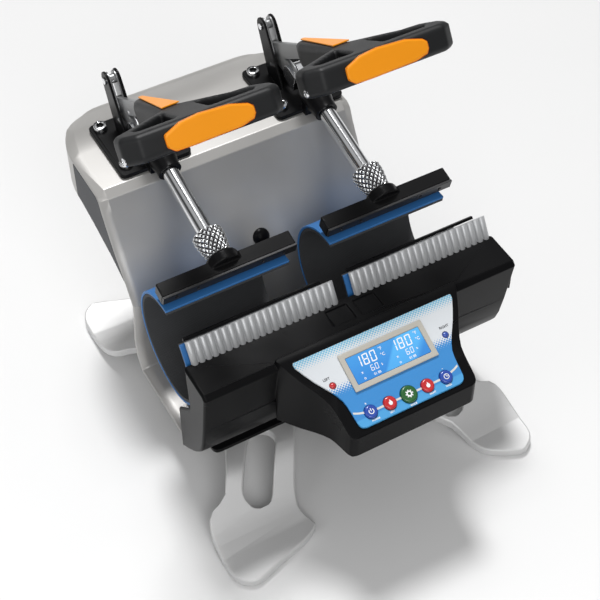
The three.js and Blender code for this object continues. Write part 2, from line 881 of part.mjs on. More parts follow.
function shellOuter() {
  const slopeEnd = shelfBackY + rearSlopeRun;
  const slopeZ = shelfZ - rearSlopeDrop;
  const roundShares = [[0.3, 0.045], [0.55, 0.14], [0.75, 0.27], [0.89, 0.45], [0.97, 0.7], [1, 1]];
  const back = shareOutline(roundShares, rearY - slopeEnd, rearPanelTop - slopeZ, slopeEnd, slopeZ);
  const front = [[shellFloorFront, floorZ], ...wallPoints(), [shelfFrontY + shellThickness, shelfZ]];
  return [...front, [shelfBackY, shelfZ], [slopeEnd, slopeZ], ...back];
}

// Underside of the rear chamber, from the back down to the wall
const underShares = [
  [1, 1], [0.9, 0.82], [0.72, 0.66], [0.5, 0.56], [0.36, 0.45], [0.14, 0.22], [0, 0],
];
// The rear hollow starts half way up the wall's table
const chamberWallStart = wallShares.length / 2;

function chamberFoot() {
  const backOfWall = offsetLine(wallPoints(), -shellThickness);
  return backOfWall[chamberWallStart];
}

function underPoints() {
  const [footY, footZ] = chamberFoot();
  return shareOutline(underShares, rearY - footY, rearPanelTop - footZ, footY, footZ);
}

// Plan of the shell with rounded rear corners, moved inward by a margin
function shellPlan(margin = 0) {
  const points = [[-shellLeft + margin, baseFront], [shellRight - margin, baseFront]];
  const steps = 18;
  const radius = rearCornerRadius - margin;
  const centreY = rearY - rearCornerRadius;
  const centres = [shellRight - rearCornerRadius, -shellLeft + rearCornerRadius];
  centres.forEach((centreX, corner) => {
    for (let i = 0; i <= steps; i += 1) {
      const turn = (Math.PI / 2) * (corner + i / steps);
      points.push([centreX + radius * Math.cos(turn), centreY + radius * Math.sin(turn)]);
    }
  });
  return points;
}

// Hollow behind the wall and under the shelf, one wall thickness inside the skin
function chamberSide() {
  const skin = offsetLine(shellOuter().slice(1 + chamberWallStart), -shellThickness);
  const under = offsetLine(underPoints().slice(1), -shellThickness);
  return [...skin.slice(1), ...under.slice(0, -1)];
}

function shellSide() {
  const under = floorZ - shellThickness;
  const wallBack = offsetLine(wallPoints(), -shellThickness).slice(1, chamberWallStart).reverse();
  const floorBack = [[wallPoints()[0][0] + shellThickness / 2, under], [shellFloorFront, under]];
  return [...shellOuter(), ...underPoints().slice(1), ...wallBack, ...floorBack];
}

function buildShell() {
  const profile = alongX(shellSide(), -shellLeft, shellRight);
  const bulk = [...shellOuter(), [rearY, 0], [shellFloorFront, 0]];
  const bevelled = alongX(bulk, -shellLeft, shellRight, shellBevelRun, shellBevelDrop);
  const plan = alongZ(shellPlan(), 0, shelfZ, shellBevelDrop, shellBevelRun);
  const innerPlan = alongZ(shellPlan(shellThickness), 0, shelfZ);
  const chamber = commonOf(alongX(chamberSide(), -shellLeft, shellRight), innerPlan);
  const notchSide = capSide(0, shellThickness);
  const leftNotch = alongX(notchSide, -shellLeft - cutOverrun, -shellLeft + capThickness + seatGap);
  const rightNotch = alongX(notchSide, shellRight - capThickness - seatGap, shellRight + cutOverrun);
  const skin = commonOf(commonOf(profile, bevelled), plan);
  addPart(model, 'shell', cutAway(skin, chamber, leftNotch, rightNotch), 'silver');
}

// Height of an open line at a given place along Y
function heightAt(line, place) {
  for (let i = 0; i + 1 < line.length; i += 1) {
    const [startY, startZ] = line[i];
    const [endY, endZ] = line[i + 1];
    const low = Math.min(startY, endY);
    const high = Math.max(startY, endY);
    if (place >= low && place <= high && high > low) {
      return startZ + ((endZ - startZ) * (place - startY)) / (endY - startY);
    }
  }
  return line[line.length - 1][1];
}

// End caps close the chamber's two ends; they fill a notch behind the front border
function capSide(gap, drop) {
  const inset = shellThickness + gap;
  const end = capEndY - gap;
  const skin = offsetLine(shellOuter().slice(1 + chamberWallStart), -inset);
  const top = skin.filter(([y]) => y < shelfBackY && y < end);
  const under = underPoints();
  const low = under.slice(1).filter(([y]) => y < end && y > top[0][0] + gap);
  const bottomLine = [[end, heightAt(under, end)], ...low].map(([y, z]) => [y, z - drop]);
  return [...top, [end, shelfZ - inset], ...bottomLine];
}

function buildCap(name, fromX, toX) {
  addPart(model, `end_cap_${name}`, alongX(capSide(seatGap, 0), fromX, toX), 'darkGrey');
}

// Dark dome on the wall between the stations
function buildGrommet() {
  const [low, high] = wallPoints().slice(chamberWallStart - 1, chamberWallStart + 1);
  const angle = Math.atan2(high[1] - low[1], high[0] - low[0]);
  const y = low[0] + grommetShare * (high[0] - low[0]);
  const z = low[1] + grommetShare * (high[1] - low[1]);
  const steps = 6;
  const profile = [[0, seatGap]];
  for (let i = 0; i <= steps; i += 1) {
    const turn = (Math.PI / 2) * (i / steps);
    const radius = i === steps ? 0 : grommetRadius * Math.cos(turn);
    profile.push([radius, seatGap + grommetHeight * Math.sin(turn)]);
  }
  const dome = turned(profile).rotateX(angle + Math.PI / 2).translate(grommetX, y, z);
  addPart(model, 'wall_grommet', dome, 'black');
}

// Front housing: a thin box with end plates, open to the mats at its back
const stripSlope = (stripTopY - stripFootY) / (stripTopZ - stripFootZ);

function stripFaceY(z) {
  return stripFootY + (z - stripFootZ) * stripSlope;
}

const faceSides = 3;
const faceShares = [[0, -0.03], [0.19, -0.575], [0.41, -0.765], [0.72, -0.905], [1, -1]];

function housingFace(inset) {
  const start = housingFrontY + inset;
  const top = ledgeZ - inset;
  const run = housingFootY - inset - start;
  const fall = top - (housingFootZ + inset);
  return curveThrough(
    faceShares.map(([along, down]) => [start + along * run, top + down * fall]), faceSides
  );
}

function buildHousingShape() {
  const ledgeFront = [housingFrontY + ledgeRound, ledgeZ];
  const ledgeBack = [stripFaceY(ledgeZ) - seatGap, ledgeZ];
  const ledgeUnder = [stripFaceY(ledgeZ - housingWall) - seatGap, ledgeZ - housingWall];
  const back = [housingBackY, housingWaistZ];
  const backFoot = [housingFootY, matCentreZ - matOuterRadius - housingWall];
  const side = [ledgeFront, ...housingFace(0), backFoot, back, ledgeUnder, ledgeBack].reverse();
  const block = alongX(side, -housingLeft, housingRight, housingBevel, housingBevel);
  const inner = housingFace(housingWall);
  const far = housingFootY + matOuterRadius;
  const topZ = ledgeZ - housingWall;
  const hollowSide = [[inner[0][0], topZ], ...inner, [far, inner[inner.length - 1][1]], [far, topZ]];
  const hollow = alongX(hollowSide, -housingLeft + housingWall, housingRight - housingWall);
  return { block, hollow };
}

// Flared console: plan outline with a margin, cut by the sloped top
const planShares = [
  [0.99, 0], [1, 0.06], [0.62, 0.3], [0.3, 0.46], [0.06, 0.62],
  [0, 0.78], [-0.03, 0.93], [-0.13, 0.985], [-0.3, 1],
];

function consolePlan(margin, frontMargin, backMargin) {
  const run = consoleTopY - consoleFrontY - frontMargin - backMargin;
  const flare = consoleTopHalf - consoleBottomHalf;
  const rows = curveThrough(planShares.map(([across, along]) => {
    const half = consoleBottomHalf + across * flare - margin;
    return [half, consoleTopY - backMargin - along * run];
  }), 2);
  const left = rows.map(([x, y]) => [-x, y]).reverse();
  return [...rows, ...left].map(([x, y]) => [x + frontGroupX, y]);
}

const slopeTan = Math.tan(consoleAngle);

function slopeZ(y) {
  return consoleTopZ - (consoleTopY - y) * slopeTan;
}

function consoleSide(inset) {
  const front = consoleFrontY + inset;
  const lift = inset / Math.cos(consoleAngle);
  const base = slopeZ(consoleFrontY) - consoleFrontHeight + inset;
  const under = housingFace(0)[faceSides];
  const back = consoleTopY + consoleBackRun - inset;
  const points = [
    [front, base],
    [front, slopeZ(front) - lift],
    [consoleTopY, consoleTopZ - lift],
    [back, consoleTopZ - lift],
  ];
  const deep = housingBackY;
  return [
    ...points, [back + consoleBackRun, ledgeZ - housingWall], [deep, ledgeZ - housingWall],
    [under[0] + inset, under[1] + inset],
  ];
}

// Console frame: local -Y runs down the slope, local Z leaves the panel
const consoleFrame = new THREE.Matrix4().makeRotationX(consoleAngle)
  .setPosition(frontGroupX, consoleTopY, consoleTopZ);

function consolePart(name, geometry, finish) {
  addPart(model, name, geometry.applyMatrix4(consoleFrame), finish);
}

const buttonPlaces = [-2, -1, 0, 1, 2].map((slot) => {
  const radius = slot === 0 ? middleButtonRadius : buttonRadius;
  return [slot * buttonSpacing, -buttonRow, radius];
});
const lampPlaces = [-1, 1].map((side) => [side * lampReach, -lampDown, lampRadius]);

function panelHoles(gap, low, high) {
  return [...buttonPlaces, ...lampPlaces].map(([x, y, radius]) => {
    const hole = alongZ(circlePoints(x, y, radius + gap, 24), low, high);
    return hole.applyMatrix4(consoleFrame);
  });
}

// Window through the right end plate for a fitting
function endWindow(rise, setback, width, height) {
  const middle = housingBackY - setback;
  const z = housingFootZ + rise;
  const x = housingRight;
  const half = [width / 2 + seatGap, height / 2 + seatGap];
  return box(
    x - 2 * housingWall, x + cutOverrun, middle - half[0], middle + half[0], z - half[1], z + half[1]
  );
}

function buildFrontHousing() {
  const { block, hollow } = buildHousingShape();
  const floor = housingFootZ;
  const top = consoleTopZ + cutOverrun;
  const console = commonOf(
    alongZ(consolePlan(0, 0, -consoleBackRun), floor, top),
    alongX(consoleSide(0), -housingLeft, housingRight),
  );
  const inner = commonOf(
    alongZ(consolePlan(housingWall, housingWall, -consoleBackRun - housingWall), floor, top),
    alongX(consoleSide(housingWall), -housingLeft, housingRight),
  );
  const holes = panelHoles(runningGap, -2 * housingWall, housingWall);
  const windows = [
    endWindow(inletRise, inletSetback, inletWidth, inletHeight),
    endWindow(switchRise, switchSetback, switchWidth, switchHeight),
  ];
  const recesses = [-1, 1].map((side) => {
    const x = frontGroupX + side * recessSpacing;
    return box(
      x - recessLength / 2, x + recessLength / 2, recessBack - recessWidth, recessBack,
      ledgeZ - recessDepth / 2, ledgeZ + cutOverrun,
    );
  });
  addPart(
    model, 'front_housing',
    cutAway(unite(block, console), hollow, inner, ...holes, ...windows, ...recesses), 'black',
  );
}

const recessBack = stripFootY - seatGap - housingWall;

// Label plate on the slope, with windows for the display, the buttons and the lamps
function buildLabel() {
  const low = seatGap / Math.cos(consoleAngle);
  const high = (seatGap + labelThickness) / Math.cos(consoleAngle);
  const front = consoleFrontY;
  const back = consoleTopY;
  const slab = [
    [front, slopeZ(front) + low], [front, slopeZ(front) + high], [back, slopeZ(back) + high],
    [back, slopeZ(back) + low],
  ];
  const plate = commonOf(
    alongZ(
      consolePlan(labelSideMargin, labelFrontMargin, labelTopMargin), housingFootZ,
      consoleTopZ + cutOverrun,
    ),
    alongX(slab, -housingLeft, housingRight),
  );
  const window = glassBox(seatGap, -cutOverrun, cutOverrun).applyMatrix4(consoleFrame);
  addPart(
    model, 'label_panel', cutAway(plate, window, ...panelHoles(runningGap, -cutOverrun, cutOverrun)),
    'labelBlue',
  );
}

function glassBox(gap, low, high) {
  const half = displayHalfWidth - displayFrame + gap;
  const top = -displayTop - displayFrame + gap;
  const bottom = -displayTop - displayHeight + displayFrame - gap;
  return box(-half, half, bottom, top, low, high);
}

function buildDisplay() {
  const low = 2 * seatGap + labelThickness;
  const frame = box(
    -displayHalfWidth, displayHalfWidth, -displayTop - displayHeight, -displayTop, low,
    low + displayProud,
  );
  consolePart('display_frame', cutAway(frame, glassBox(seatGap, -cutOverrun, cutOverrun)), 'bezel');
  consolePart('display_glass', glassBox(0, seatGap, low + glassThickness), 'glass');
}

const buttonFinishes = ['buttonBlue', 'buttonRed', 'buttonGreen', 'buttonRed', 'buttonBlue'];

function buildButtons() {
  const top = seatGap + labelThickness + buttonProud;
  buttonPlaces.forEach(([x, y, radius], i) => {
    const profile = [
      [0, -buttonStem], [radius, -buttonStem], [radius, top - buttonProud / 3],
      [radius - buttonProud / 3, top], [0, top],
    ];
    const cap = turned(profile).rotateX(Math.PI / 2).translate(x, y, 0);
    consolePart(`button_${i + 1}`, cap, buttonFinishes[i]);
  });
}

function buildLamps() {
  const top = seatGap + labelThickness + lampRadius / 3;
  lampPlaces.forEach(([x, y, radius], i) => {
    const profile = [
      [0, -buttonStem], [radius, -buttonStem], [radius, top - radius / 3], [radius / 2, top], [0, top],
    ];
    const lamp = turned(profile, 14).rotateX(Math.PI / 2).translate(x, y, 0);
    consolePart(`lamp_${i === 0 ? 'left' : 'right'}`, lamp, i === 0 ? 'buttonRed' : 'buttonBlue');
  });
}

// Control board under the panel, on four posts
function buildBoard() {
  const halfX = 2 * buttonSpacing + buttonRadius + boardMargin;
  const back = -displayTop;
  const front = -buttonRow - middleButtonRadius;
  const top = -housingWall - seatGap;
  const plate = box(-halfX, halfX, front, back, top - boardGap - boardThickness, top - boardGap);
  const posts = [-1, 1].flatMap((side) => [front, back].map((y) => {
    const inward = y === front ? boardPost : -boardPost;
    return alongZ(
      circlePoints(side * (halfX - boardPost), y + inward, boardPost / 2, 10),
      top - boardGap - boardThickness / 2, top,
    );
  }));
  consolePart('control_board', unite(plate, ...posts), 'board');
}

// Ribbed strip between ledge and mat, a comb section drawn along its height
function stripGroup(x) {
  const group = new THREE.Group();
  group.position.set(x, stripFootY, stripFootZ);
  group.rotation.x = stripAngle;
  model.add(group);
  return group;
}

const stripLength = Math.hypot(stripTopY - stripFootY, stripTopZ - stripFootZ);

function buildStrip(name, x) {
  const group = stripGroup(x);
  const from = -stripLeftReach;
  const to = stripRightReach;
  const points = [[from, 0], [from, -stripThickness], [to, -stripThickness], [to, 0]];
  const count = Math.floor((to - from) / ribPitch);
  const start = (from + to) / 2 + ((count - 1) * ribPitch) / 2;
  for (let i = 0; i < count; i += 1) {
    const middle = start - i * ribPitch;
    const half = ribGroove / 2;
    points.push([middle + half, 0], [middle + half / 2, -ribGrooveDepth]);
    points.push([middle - half / 2, -ribGrooveDepth], [middle - half, 0]);
  }
  const length = stripLength + stripSink;
  const plate = extrude(shapeOf(points), length).rotateX(Math.PI / 2).translate(0, stripLength, 0);
  addPart(group, `ribbed_strip_${name}`, plate, 'ribGrey');
  const low = stripLength + seatGap;
  const bar = box(from, to - edgeBarShort, low, low + edgeBarHeight, -edgeBarDepth, 0);
  addPart(group, `edge_bar_${name}`, bar, 'black');
}

// Base plate under the shell, with the legs hung below it

function buildBase() {
  const middle = (baseFront + baseBack) / 2;
  const outline = roundedBox(
    2 * baseHalfWidth, baseBack - baseFront, baseCornerRadius
  ).map(([x, y]) => [x, y + middle]);
  addPart(model, 'base_plate', alongZ(outline, baseUnder, baseTop), 'black');
}

// Leg: leaf outline seen from above, cut from a bent plate
const leafOuterShares = [
  [0.68, 1.12], [0.7, 0.96], [0.73, 0.875], [0.83, 0.63], [0.94, 0.565], [0.985, 0.48], [1, 0.34],
  [1, 0.125], [0.98, 0.035], [0.94, -0.02], [0.87, -0.045],
];
const leafInnerShares = [
  [0.717, 0.018], [0.566, 0.07], [0.474, 0.125], [0.434, 0.18], [0.46, 0.27], [0.47, 0.36],
  [0.44, 0.48], [0.395, 0.59], [0.33, 0.75], [0.25, 0.96], [0.22, 1.12],
];
const slimInnerShares = [
  [0.72, 0.06], [0.665, 0.15], [0.635, 0.28], [0.6, 0.41],
  [0.53, 0.5], [0.44, 0.66], [0.36, 0.8], [0.22, 1.12],
];
const legSlotShares = [[0.5, 0.87], [0.65, 0.56]];
const rideShares = [[-0.1, 0], [0.22, 0], [0.4, 0.2], [0.58, 0.58], [0.7, 0.9], [0.78, 1], [1.15, 1]];

function buildLeg(name, reach, run, tip, sideX, sideY, innerShares) {
  const top = baseUnder - seatGap;
  const rise = top - legThickness;
  const ride = rideShares.map(([along, up]) => [tip + sideY * along * run, up * rise]);
  const slope = ride.slice(1, -2);
  const line = [ride[0], ...curveThrough(slope, 3), ...ride.slice(-2)];
  const upper = line.map(([y, z]) => [y, z + legThickness]);
  const ski = alongX([...line, ...upper.reverse()], -reach - cutOverrun, reach + cutOverrun);
  const slotEnds = legSlotShares.map(([across, along]) => {
    return [sideX * across * reach, tip + sideY * along * run];
  });
  const slot = capsulePoints(slotEnds[0], slotEnds[1], legSlotRadius, legSlotRadius);
  const plan = curveThrough([...leafOuterShares, ...innerShares]
    .map(([across, along]) => [sideX * across * reach, tip + sideY * along * run]), 2);
  const leaf = alongZ(plan, -cutOverrun, top + cutOverrun, 0, 0, [slot]);
  addPart(model, `leg_${name}`, commonOf(ski, leaf), 'steel');
}

// Fittings on the right end plate: power inlet and rocker switch
function buildInlet() {
  const y = housingBackY - inletSetback;
  const z = housingFootZ + inletRise;
  const x = housingRight;
  const halfY = inletWidth / 2;
  const halfZ = inletHeight / 2;
  const body = box(x - inletDepth, x + seatGap, y - halfY, y + halfY, z - halfZ, z + halfZ);
  const rim = fittingFlange;
  const flange = box(
    x + seatGap, x + seatGap + fittingProud, y - halfY - rim, y + halfY + rim, z - halfZ - rim,
    z + halfZ + rim,
  );
  const socketHalfY = halfY - inletWall;
  const socketHalfZ = halfZ - inletWall;
  const socket = box(
    x - inletDepth + inletWall, x + cutOverrun, y - socketHalfY, y + socketHalfY, z - socketHalfZ,
    z + socketHalfZ,
  );
  const pins = [-1, 0, 1].map((slot) => {
    const rise = z + slot * inletPinSpacing;
    const lean = slot === 0 ? inletPinSize : -inletPinSize;
    const half = inletPinSize / 2;
    const back = x - inletDepth + inletWall / 2;
    return box(back, back + inletPinLength, y + lean - half, y + lean + half, rise - half, rise + half);
  });
  addPart(model, 'power_inlet', unite(cutAway(unite(body, flange), socket), ...pins), 'black');
}

function buildSwitch() {
  const y = housingBackY - switchSetback;
  const z = housingFootZ + switchRise;
  const x = housingRight;
  const halfY = switchWidth / 2;
  const halfZ = switchHeight / 2;
  const body = box(x - switchDepth, x + seatGap, y - halfY, y + halfY, z - halfZ, z + halfZ);
  const rim = fittingFlange;
  const flange = box(
    x + seatGap, x + seatGap + fittingProud, y - halfY - rim, y + halfY + rim, z - halfZ - rim,
    z + halfZ + rim,
  );
  const wellY = halfY - switchWall;
  const wellZ = halfZ - switchWall;
  const well = box(
    x - switchDepth + switchWall, x + cutOverrun, y - wellY, y + wellY, z - wellZ, z + wellZ
  );
  addPart(model, 'switch_frame', cutAway(unite(body, flange), well), 'black');
  const play = 2 * runningGap;
  const reach = wellZ - play;
  const depth = rockerProud + fittingProud;
  const rockerSide = [
    [-depth, -reach], [depth, -reach], [rockerProud, 0], [depth, reach], [-depth, reach],
  ];
  const rocker = alongZ(rockerSide.reverse(), -wellY + play, wellY - play).rotateX(Math.PI / 2);
  rocker.rotateY(rockerAngle).translate(x, y, z);
  addPart(model, 'switch_rocker', rocker, 'buttonRed');
}

buildShell();
buildCap('left', -shellLeft, -shellLeft + capThickness);
buildCap('right', shellRight - capThickness, shellRight);
buildGrommet();
buildFrontHousing();
buildLabel();
buildDisplay();
buildButtons();
buildLamps();
buildBoard();
buildBase();
buildLeg('front_left', frontLegReach, frontLegRun, frontLegTip, -1, 1, leafInnerShares);
buildLeg('front_right', frontLegReach, frontLegRun, frontLegTip, 1, 1, slimInnerShares);
buildLeg('rear_left', rearLegReach, rearLegRun, rearLegTip, -1, -1, leafInnerShares);
buildLeg('rear_right', rearLegReach, rearLegRun, rearLegTip, 1, -1, leafInnerShares);
buildInlet();
buildSwitch();

for (const [name, side] of [['left', -1], ['right', 1]]) {
  const x = (side * stationPitch) / 2;
  buildMats(name, x);
  buildCradle(name, x);
  buildStrip(name, x);
  const slide = slideGroup(x);
  buildPressBar(slide, name);
  buildClampStrip(slide, name);
  buildRod(slide, name);
  buildNut(slide, name);
  buildClampBase(name, x);
  buildPivotPin(name, x - clampShift);
  buildLink(name, x - clampShift);
  const handle = handleGroup(x - clampShift);
  buildLever(handle, name);
  buildHandle(handle, name);
  buildGrip(handle, name);
  buildInlay(handle, name);
}

// The part's own frame: centred on its box, standing on the ground
const extent = new THREE.Box3().setFromObject(model, true);
const centre = extent.getCenter(new THREE.Vector3());
model.position.set(-centre.x, -centre.y, -extent.min.z);

export default model;
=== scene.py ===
import json
import math

import bmesh
import bpy
from mathutils import Matrix, Vector

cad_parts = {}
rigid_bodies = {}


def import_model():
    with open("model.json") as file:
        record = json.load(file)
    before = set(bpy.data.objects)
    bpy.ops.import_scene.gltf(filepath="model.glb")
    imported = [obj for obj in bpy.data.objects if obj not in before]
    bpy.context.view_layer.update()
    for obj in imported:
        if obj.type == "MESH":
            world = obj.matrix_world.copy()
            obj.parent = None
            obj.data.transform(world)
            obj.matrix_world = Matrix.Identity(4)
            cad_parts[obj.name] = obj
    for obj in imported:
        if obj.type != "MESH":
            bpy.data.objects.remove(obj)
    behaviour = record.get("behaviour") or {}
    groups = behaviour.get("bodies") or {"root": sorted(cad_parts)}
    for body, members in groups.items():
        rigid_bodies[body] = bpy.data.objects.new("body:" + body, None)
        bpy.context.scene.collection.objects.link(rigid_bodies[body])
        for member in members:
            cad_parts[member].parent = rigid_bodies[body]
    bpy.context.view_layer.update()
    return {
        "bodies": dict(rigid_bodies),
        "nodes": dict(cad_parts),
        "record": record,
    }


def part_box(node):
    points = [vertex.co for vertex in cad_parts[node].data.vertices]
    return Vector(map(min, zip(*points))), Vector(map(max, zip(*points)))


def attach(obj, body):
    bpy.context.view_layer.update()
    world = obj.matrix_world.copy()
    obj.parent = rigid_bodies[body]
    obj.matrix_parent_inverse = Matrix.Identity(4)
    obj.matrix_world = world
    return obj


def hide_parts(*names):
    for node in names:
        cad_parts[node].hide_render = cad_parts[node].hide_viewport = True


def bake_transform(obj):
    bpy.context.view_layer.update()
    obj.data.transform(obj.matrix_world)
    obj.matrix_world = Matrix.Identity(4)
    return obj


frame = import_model()
nodes = frame["nodes"]
bodyNames = {empty: name for name, empty in frame["bodies"].items()}
slotOf = {row["node"]: row["material_slot"] for row in frame["record"]["subparts"]}
print("stage: frame loaded,", len(nodes), "nodes")


# Places are given in millimetres: X from the middle between the rods, Y from a line near the tips
# of the front feet, and Z from the ground
def middleX(node):
    low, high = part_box(node)
    return (low.x + high.x) / 2


rodSpacing = 75
housingReach = 6  # the front housing reaches this far in front of that line, in millimetres
originX = (middleX("knurled_nut_left") + middleX("knurled_nut_right")) / 2
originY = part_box("front_housing")[0].y + housingReach / 1000


def at(x, y, z):
    return Vector((originX + x / 1000, originY + y / 1000, z / 1000))


def frameAt(x, y, z, tilt):
    return Matrix.Translation(at(x, y, z)) @ Matrix.Rotation(tilt, 4, "X")


stations = {"left": -rodSpacing, "right": rodSpacing}


# Shader helpers
class Graph:
    def __init__(self, tree):
        self.tree = tree
        self.tree.nodes.clear()

    def add(self, kind, **values):
        node = self.tree.nodes.new(kind)
        for key, value in values.items():
            setattr(node, key, value)
        return node

    def put(self, socket, value):
        if isinstance(value, bpy.types.NodeSocket):
            self.tree.links.new(value, socket)
        elif isinstance(value, tuple) and len(value) == 3 and socket.type == "RGBA":
            socket.default_value = (*value, 1)
        else:
            socket.default_value = value

    def math(self, operation, first, second=0.0, third=0.0):
        node = self.add("ShaderNodeMath", operation=operation)
        for socket, value in zip(node.inputs, (first, second, third)):
            self.put(socket, value)
        return node.outputs[0]

    def ramp(self, value, low, high, outLow=0.0, outHigh=1.0):
        node = self.add("ShaderNodeMapRange", interpolation_type="SMOOTHSTEP")
        for socket, item in zip(node.inputs, (value, low, high, outLow, outHigh)):
            self.put(socket, item)
        return node.outputs[0]

    def mix(self, factor, first, second):
        node = self.add("ShaderNodeMix", data_type="RGBA")
        self.put(node.inputs["Factor"], factor)
        self.put(node.inputs[6], first)  # colour A
        self.put(node.inputs[7], second)  # colour B
        return node.outputs[2]

    def noise(self, vector, scale, detail):
        node = self.add("ShaderNodeTexNoise")
        self.put(node.inputs["Vector"], vector)
        self.put(node.inputs["Scale"], scale)
        self.put(node.inputs["Detail"], detail)
        return node.outputs["Fac"]


def shaderGroup(name, inputs, outputs):
    tree = bpy.data.node_groups.new(name, "ShaderNodeTree")
    graph = Graph(tree)
    for label, kind, value in inputs:
        socket = tree.interface.new_socket(label, in_out="INPUT", socket_type=kind)
        if value is not None:
            socket.default_value = value
    for label, kind in outputs:
        tree.interface.new_socket(label, in_out="OUTPUT", socket_type=kind)
    return tree, graph, graph.add("NodeGroupInput"), graph.add("NodeGroupOutput")


# Shared finish: colour and roughness drift, worn edges, dust on what faces up, fine surface height
finishShape = {
    "broadScale": 14.0, "broadDetail": 4.0, "fineDetail": 2.0, "edgeBand": (0.53, 0.62), "upBand": (0.3, 1.0),
    "wornColor": (0.7, 0.7, 0.7), "dustColor": (0.55, 0.54, 0.52),
}


def makeFinishGroup():
    inputs = [
        ("Color", "NodeSocketColor", (0.5, 0.5, 0.5, 1)),
        ("Roughness", "NodeSocketFloat", 0.4),
        ("Color Drift", "NodeSocketFloat", 0.1),
        ("Roughness Drift", "NodeSocketFloat", 0.1),
        ("Grain Scale", "NodeSocketFloat", 900.0),
        ("Edge Wear", "NodeSocketFloat", 0.1),
        ("Dust", "NodeSocketFloat", 0.03),
    ]
    outputs = [("Color", "NodeSocketColor"), ("Roughness", "NodeSocketFloat"), ("Height", "NodeSocketFloat")]
    tree, graph, given, result = shaderGroup("surfaceFinish", inputs, outputs)
    place = graph.add("ShaderNodeTexCoord").outputs["Object"]
    geometry = graph.add("ShaderNodeNewGeometry")
    broad = graph.noise(place, finishShape["broadScale"], finishShape["broadDetail"])
    fine = graph.noise(place, given.outputs["Grain Scale"], finishShape["fineDetail"])
    drift = graph.math("SUBTRACT", broad, 0.5)
    shade = graph.math("MULTIPLY_ADD", drift, given.outputs["Color Drift"], 1.0)
    shaded = graph.add("ShaderNodeVectorMath", operation="SCALE")
    graph.put(shaded.inputs[0], given.outputs["Color"])
    graph.put(shaded.inputs["Scale"], shade)
    edge = graph.ramp(geometry.outputs["Pointiness"], *finishShape["edgeBand"])
    wear = graph.math("MULTIPLY", graph.math("MULTIPLY", edge, given.outputs["Edge Wear"]), broad)
    worn = graph.mix(wear, shaded.outputs[0], finishShape["wornColor"])
    split = graph.add("ShaderNodeSeparateXYZ")
    graph.put(split.inputs[0], geometry.outputs["Normal"])
    upward = graph.ramp(split.outputs["Z"], *finishShape["upBand"])
    dust = graph.math("MULTIPLY", graph.math("MULTIPLY", upward, given.outputs["Dust"]), fine)
    graph.put(result.inputs["Color"], graph.mix(dust, worn, finishShape["dustColor"]))
    rough = graph.math("MULTIPLY_ADD", drift, given.outputs["Roughness Drift"], given.outputs["Roughness"])
    graph.put(result.inputs["Roughness"], graph.math("ADD", rough, dust))
    graph.put(result.inputs["Height"], fine)
    return tree


# Woven cloth from a sheet's own length and width
weaveShape = {"wearScale": 60.0, "wearDetail": 4.0, "shadeSpan": 0.5, "shadeLow": 0.75}


def makeWeaveGroup():
    inputs = [("Vector", "NodeSocketVector", None), ("Threads", "NodeSocketFloat", 900.0)]
    outputs = [("Shade", "NodeSocketFloat"), ("Height", "NodeSocketFloat")]
    tree, graph, given, result = shaderGroup("wovenCloth", inputs, outputs)
    split = graph.add("ShaderNodeSeparateXYZ")
    graph.put(split.inputs[0], given.outputs["Vector"])
    across = graph.math("SINE", graph.math("MULTIPLY", split.outputs["X"], given.outputs["Threads"]))
    along = graph.math("SINE", graph.math("MULTIPLY", split.outputs["Y"], given.outputs["Threads"]))
    cross = graph.math("MULTIPLY", across, along)
    wear = graph.noise(given.outputs["Vector"], weaveShape["wearScale"], weaveShape["wearDetail"])
    shade = graph.math("MULTIPLY_ADD", wear, weaveShape["shadeSpan"], weaveShape["shadeLow"])
    graph.put(result.inputs["Shade"], shade)
    graph.put(result.inputs["Height"], graph.math("MULTIPLY_ADD", cross, 0.5, 0.5))
    return tree


# Printed dot pattern: small dots that grow until the colour is solid
dotShape = {"turn": 45, "fullRadius": 0.78, "softness": 0.06}


def makeDotGroup():
    inputs = [
        ("Vector", "NodeSocketVector", None),
        ("Cover", "NodeSocketFloat", 0.5),
        ("Dots Per Metre", "NodeSocketFloat", 560.0),
    ]
    outputs = [("Mask", "NodeSocketFloat")]
    tree, graph, given, result = shaderGroup("dotPrint", inputs, outputs)
    turned = graph.add("ShaderNodeVectorRotate", rotation_type="Z_AXIS")
    graph.put(turned.inputs["Vector"], given.outputs["Vector"])
    turned.inputs["Angle"].default_value = math.radians(dotShape["turn"])
    split = graph.add("ShaderNodeSeparateXYZ")
    graph.put(split.inputs[0], turned.outputs[0])
    parts = []
    for axis in ("X", "Y"):
        count = graph.math("MULTIPLY", split.outputs[axis], given.outputs["Dots Per Metre"])
        cell = graph.math("FRACT", count)
        parts.append(graph.math("SUBTRACT", cell, 0.5))
    squares = [graph.math("MULTIPLY", part, part) for part in parts]
    distance = graph.math("SQRT", graph.math("ADD", squares[0], squares[1]))
    radius = graph.math("MULTIPLY", graph.math("SQRT", given.outputs["Cover"]), dotShape["fullRadius"])
    edge = graph.math("SUBTRACT", radius, distance)
    graph.put(result.inputs["Mask"], graph.ramp(edge, -dotShape["softness"], dotShape["softness"]))
    return tree


finishGroup = makeFinishGroup()
weaveGroup = makeWeaveGroup()
dotGroup = makeDotGroup()


def newMaterial(name):
    material = bpy.data.materials.new(name)
    material.use_nodes = True
    graph = Graph(material.node_tree)
    surface = graph.add("ShaderNodeBsdfPrincipled")
    output = graph.add("ShaderNodeOutputMaterial")
    graph.put(output.inputs["Surface"], surface.outputs[0])
    return material, graph, surface


# What a look leaves out is taken from here; bumpHeight is in metres
plainLook = {
    "colorDrift": 0.12, "roughnessDrift": 0.12, "grainScale": 900.0, "edgeWear": 0.1, "dust": 0.04,
    "bump": 0.1, "bumpHeight": 0.0002, "metallic": 0.0, "specular": 0.5, "coat": 0.0, "coatRoughness": 0.15,
}


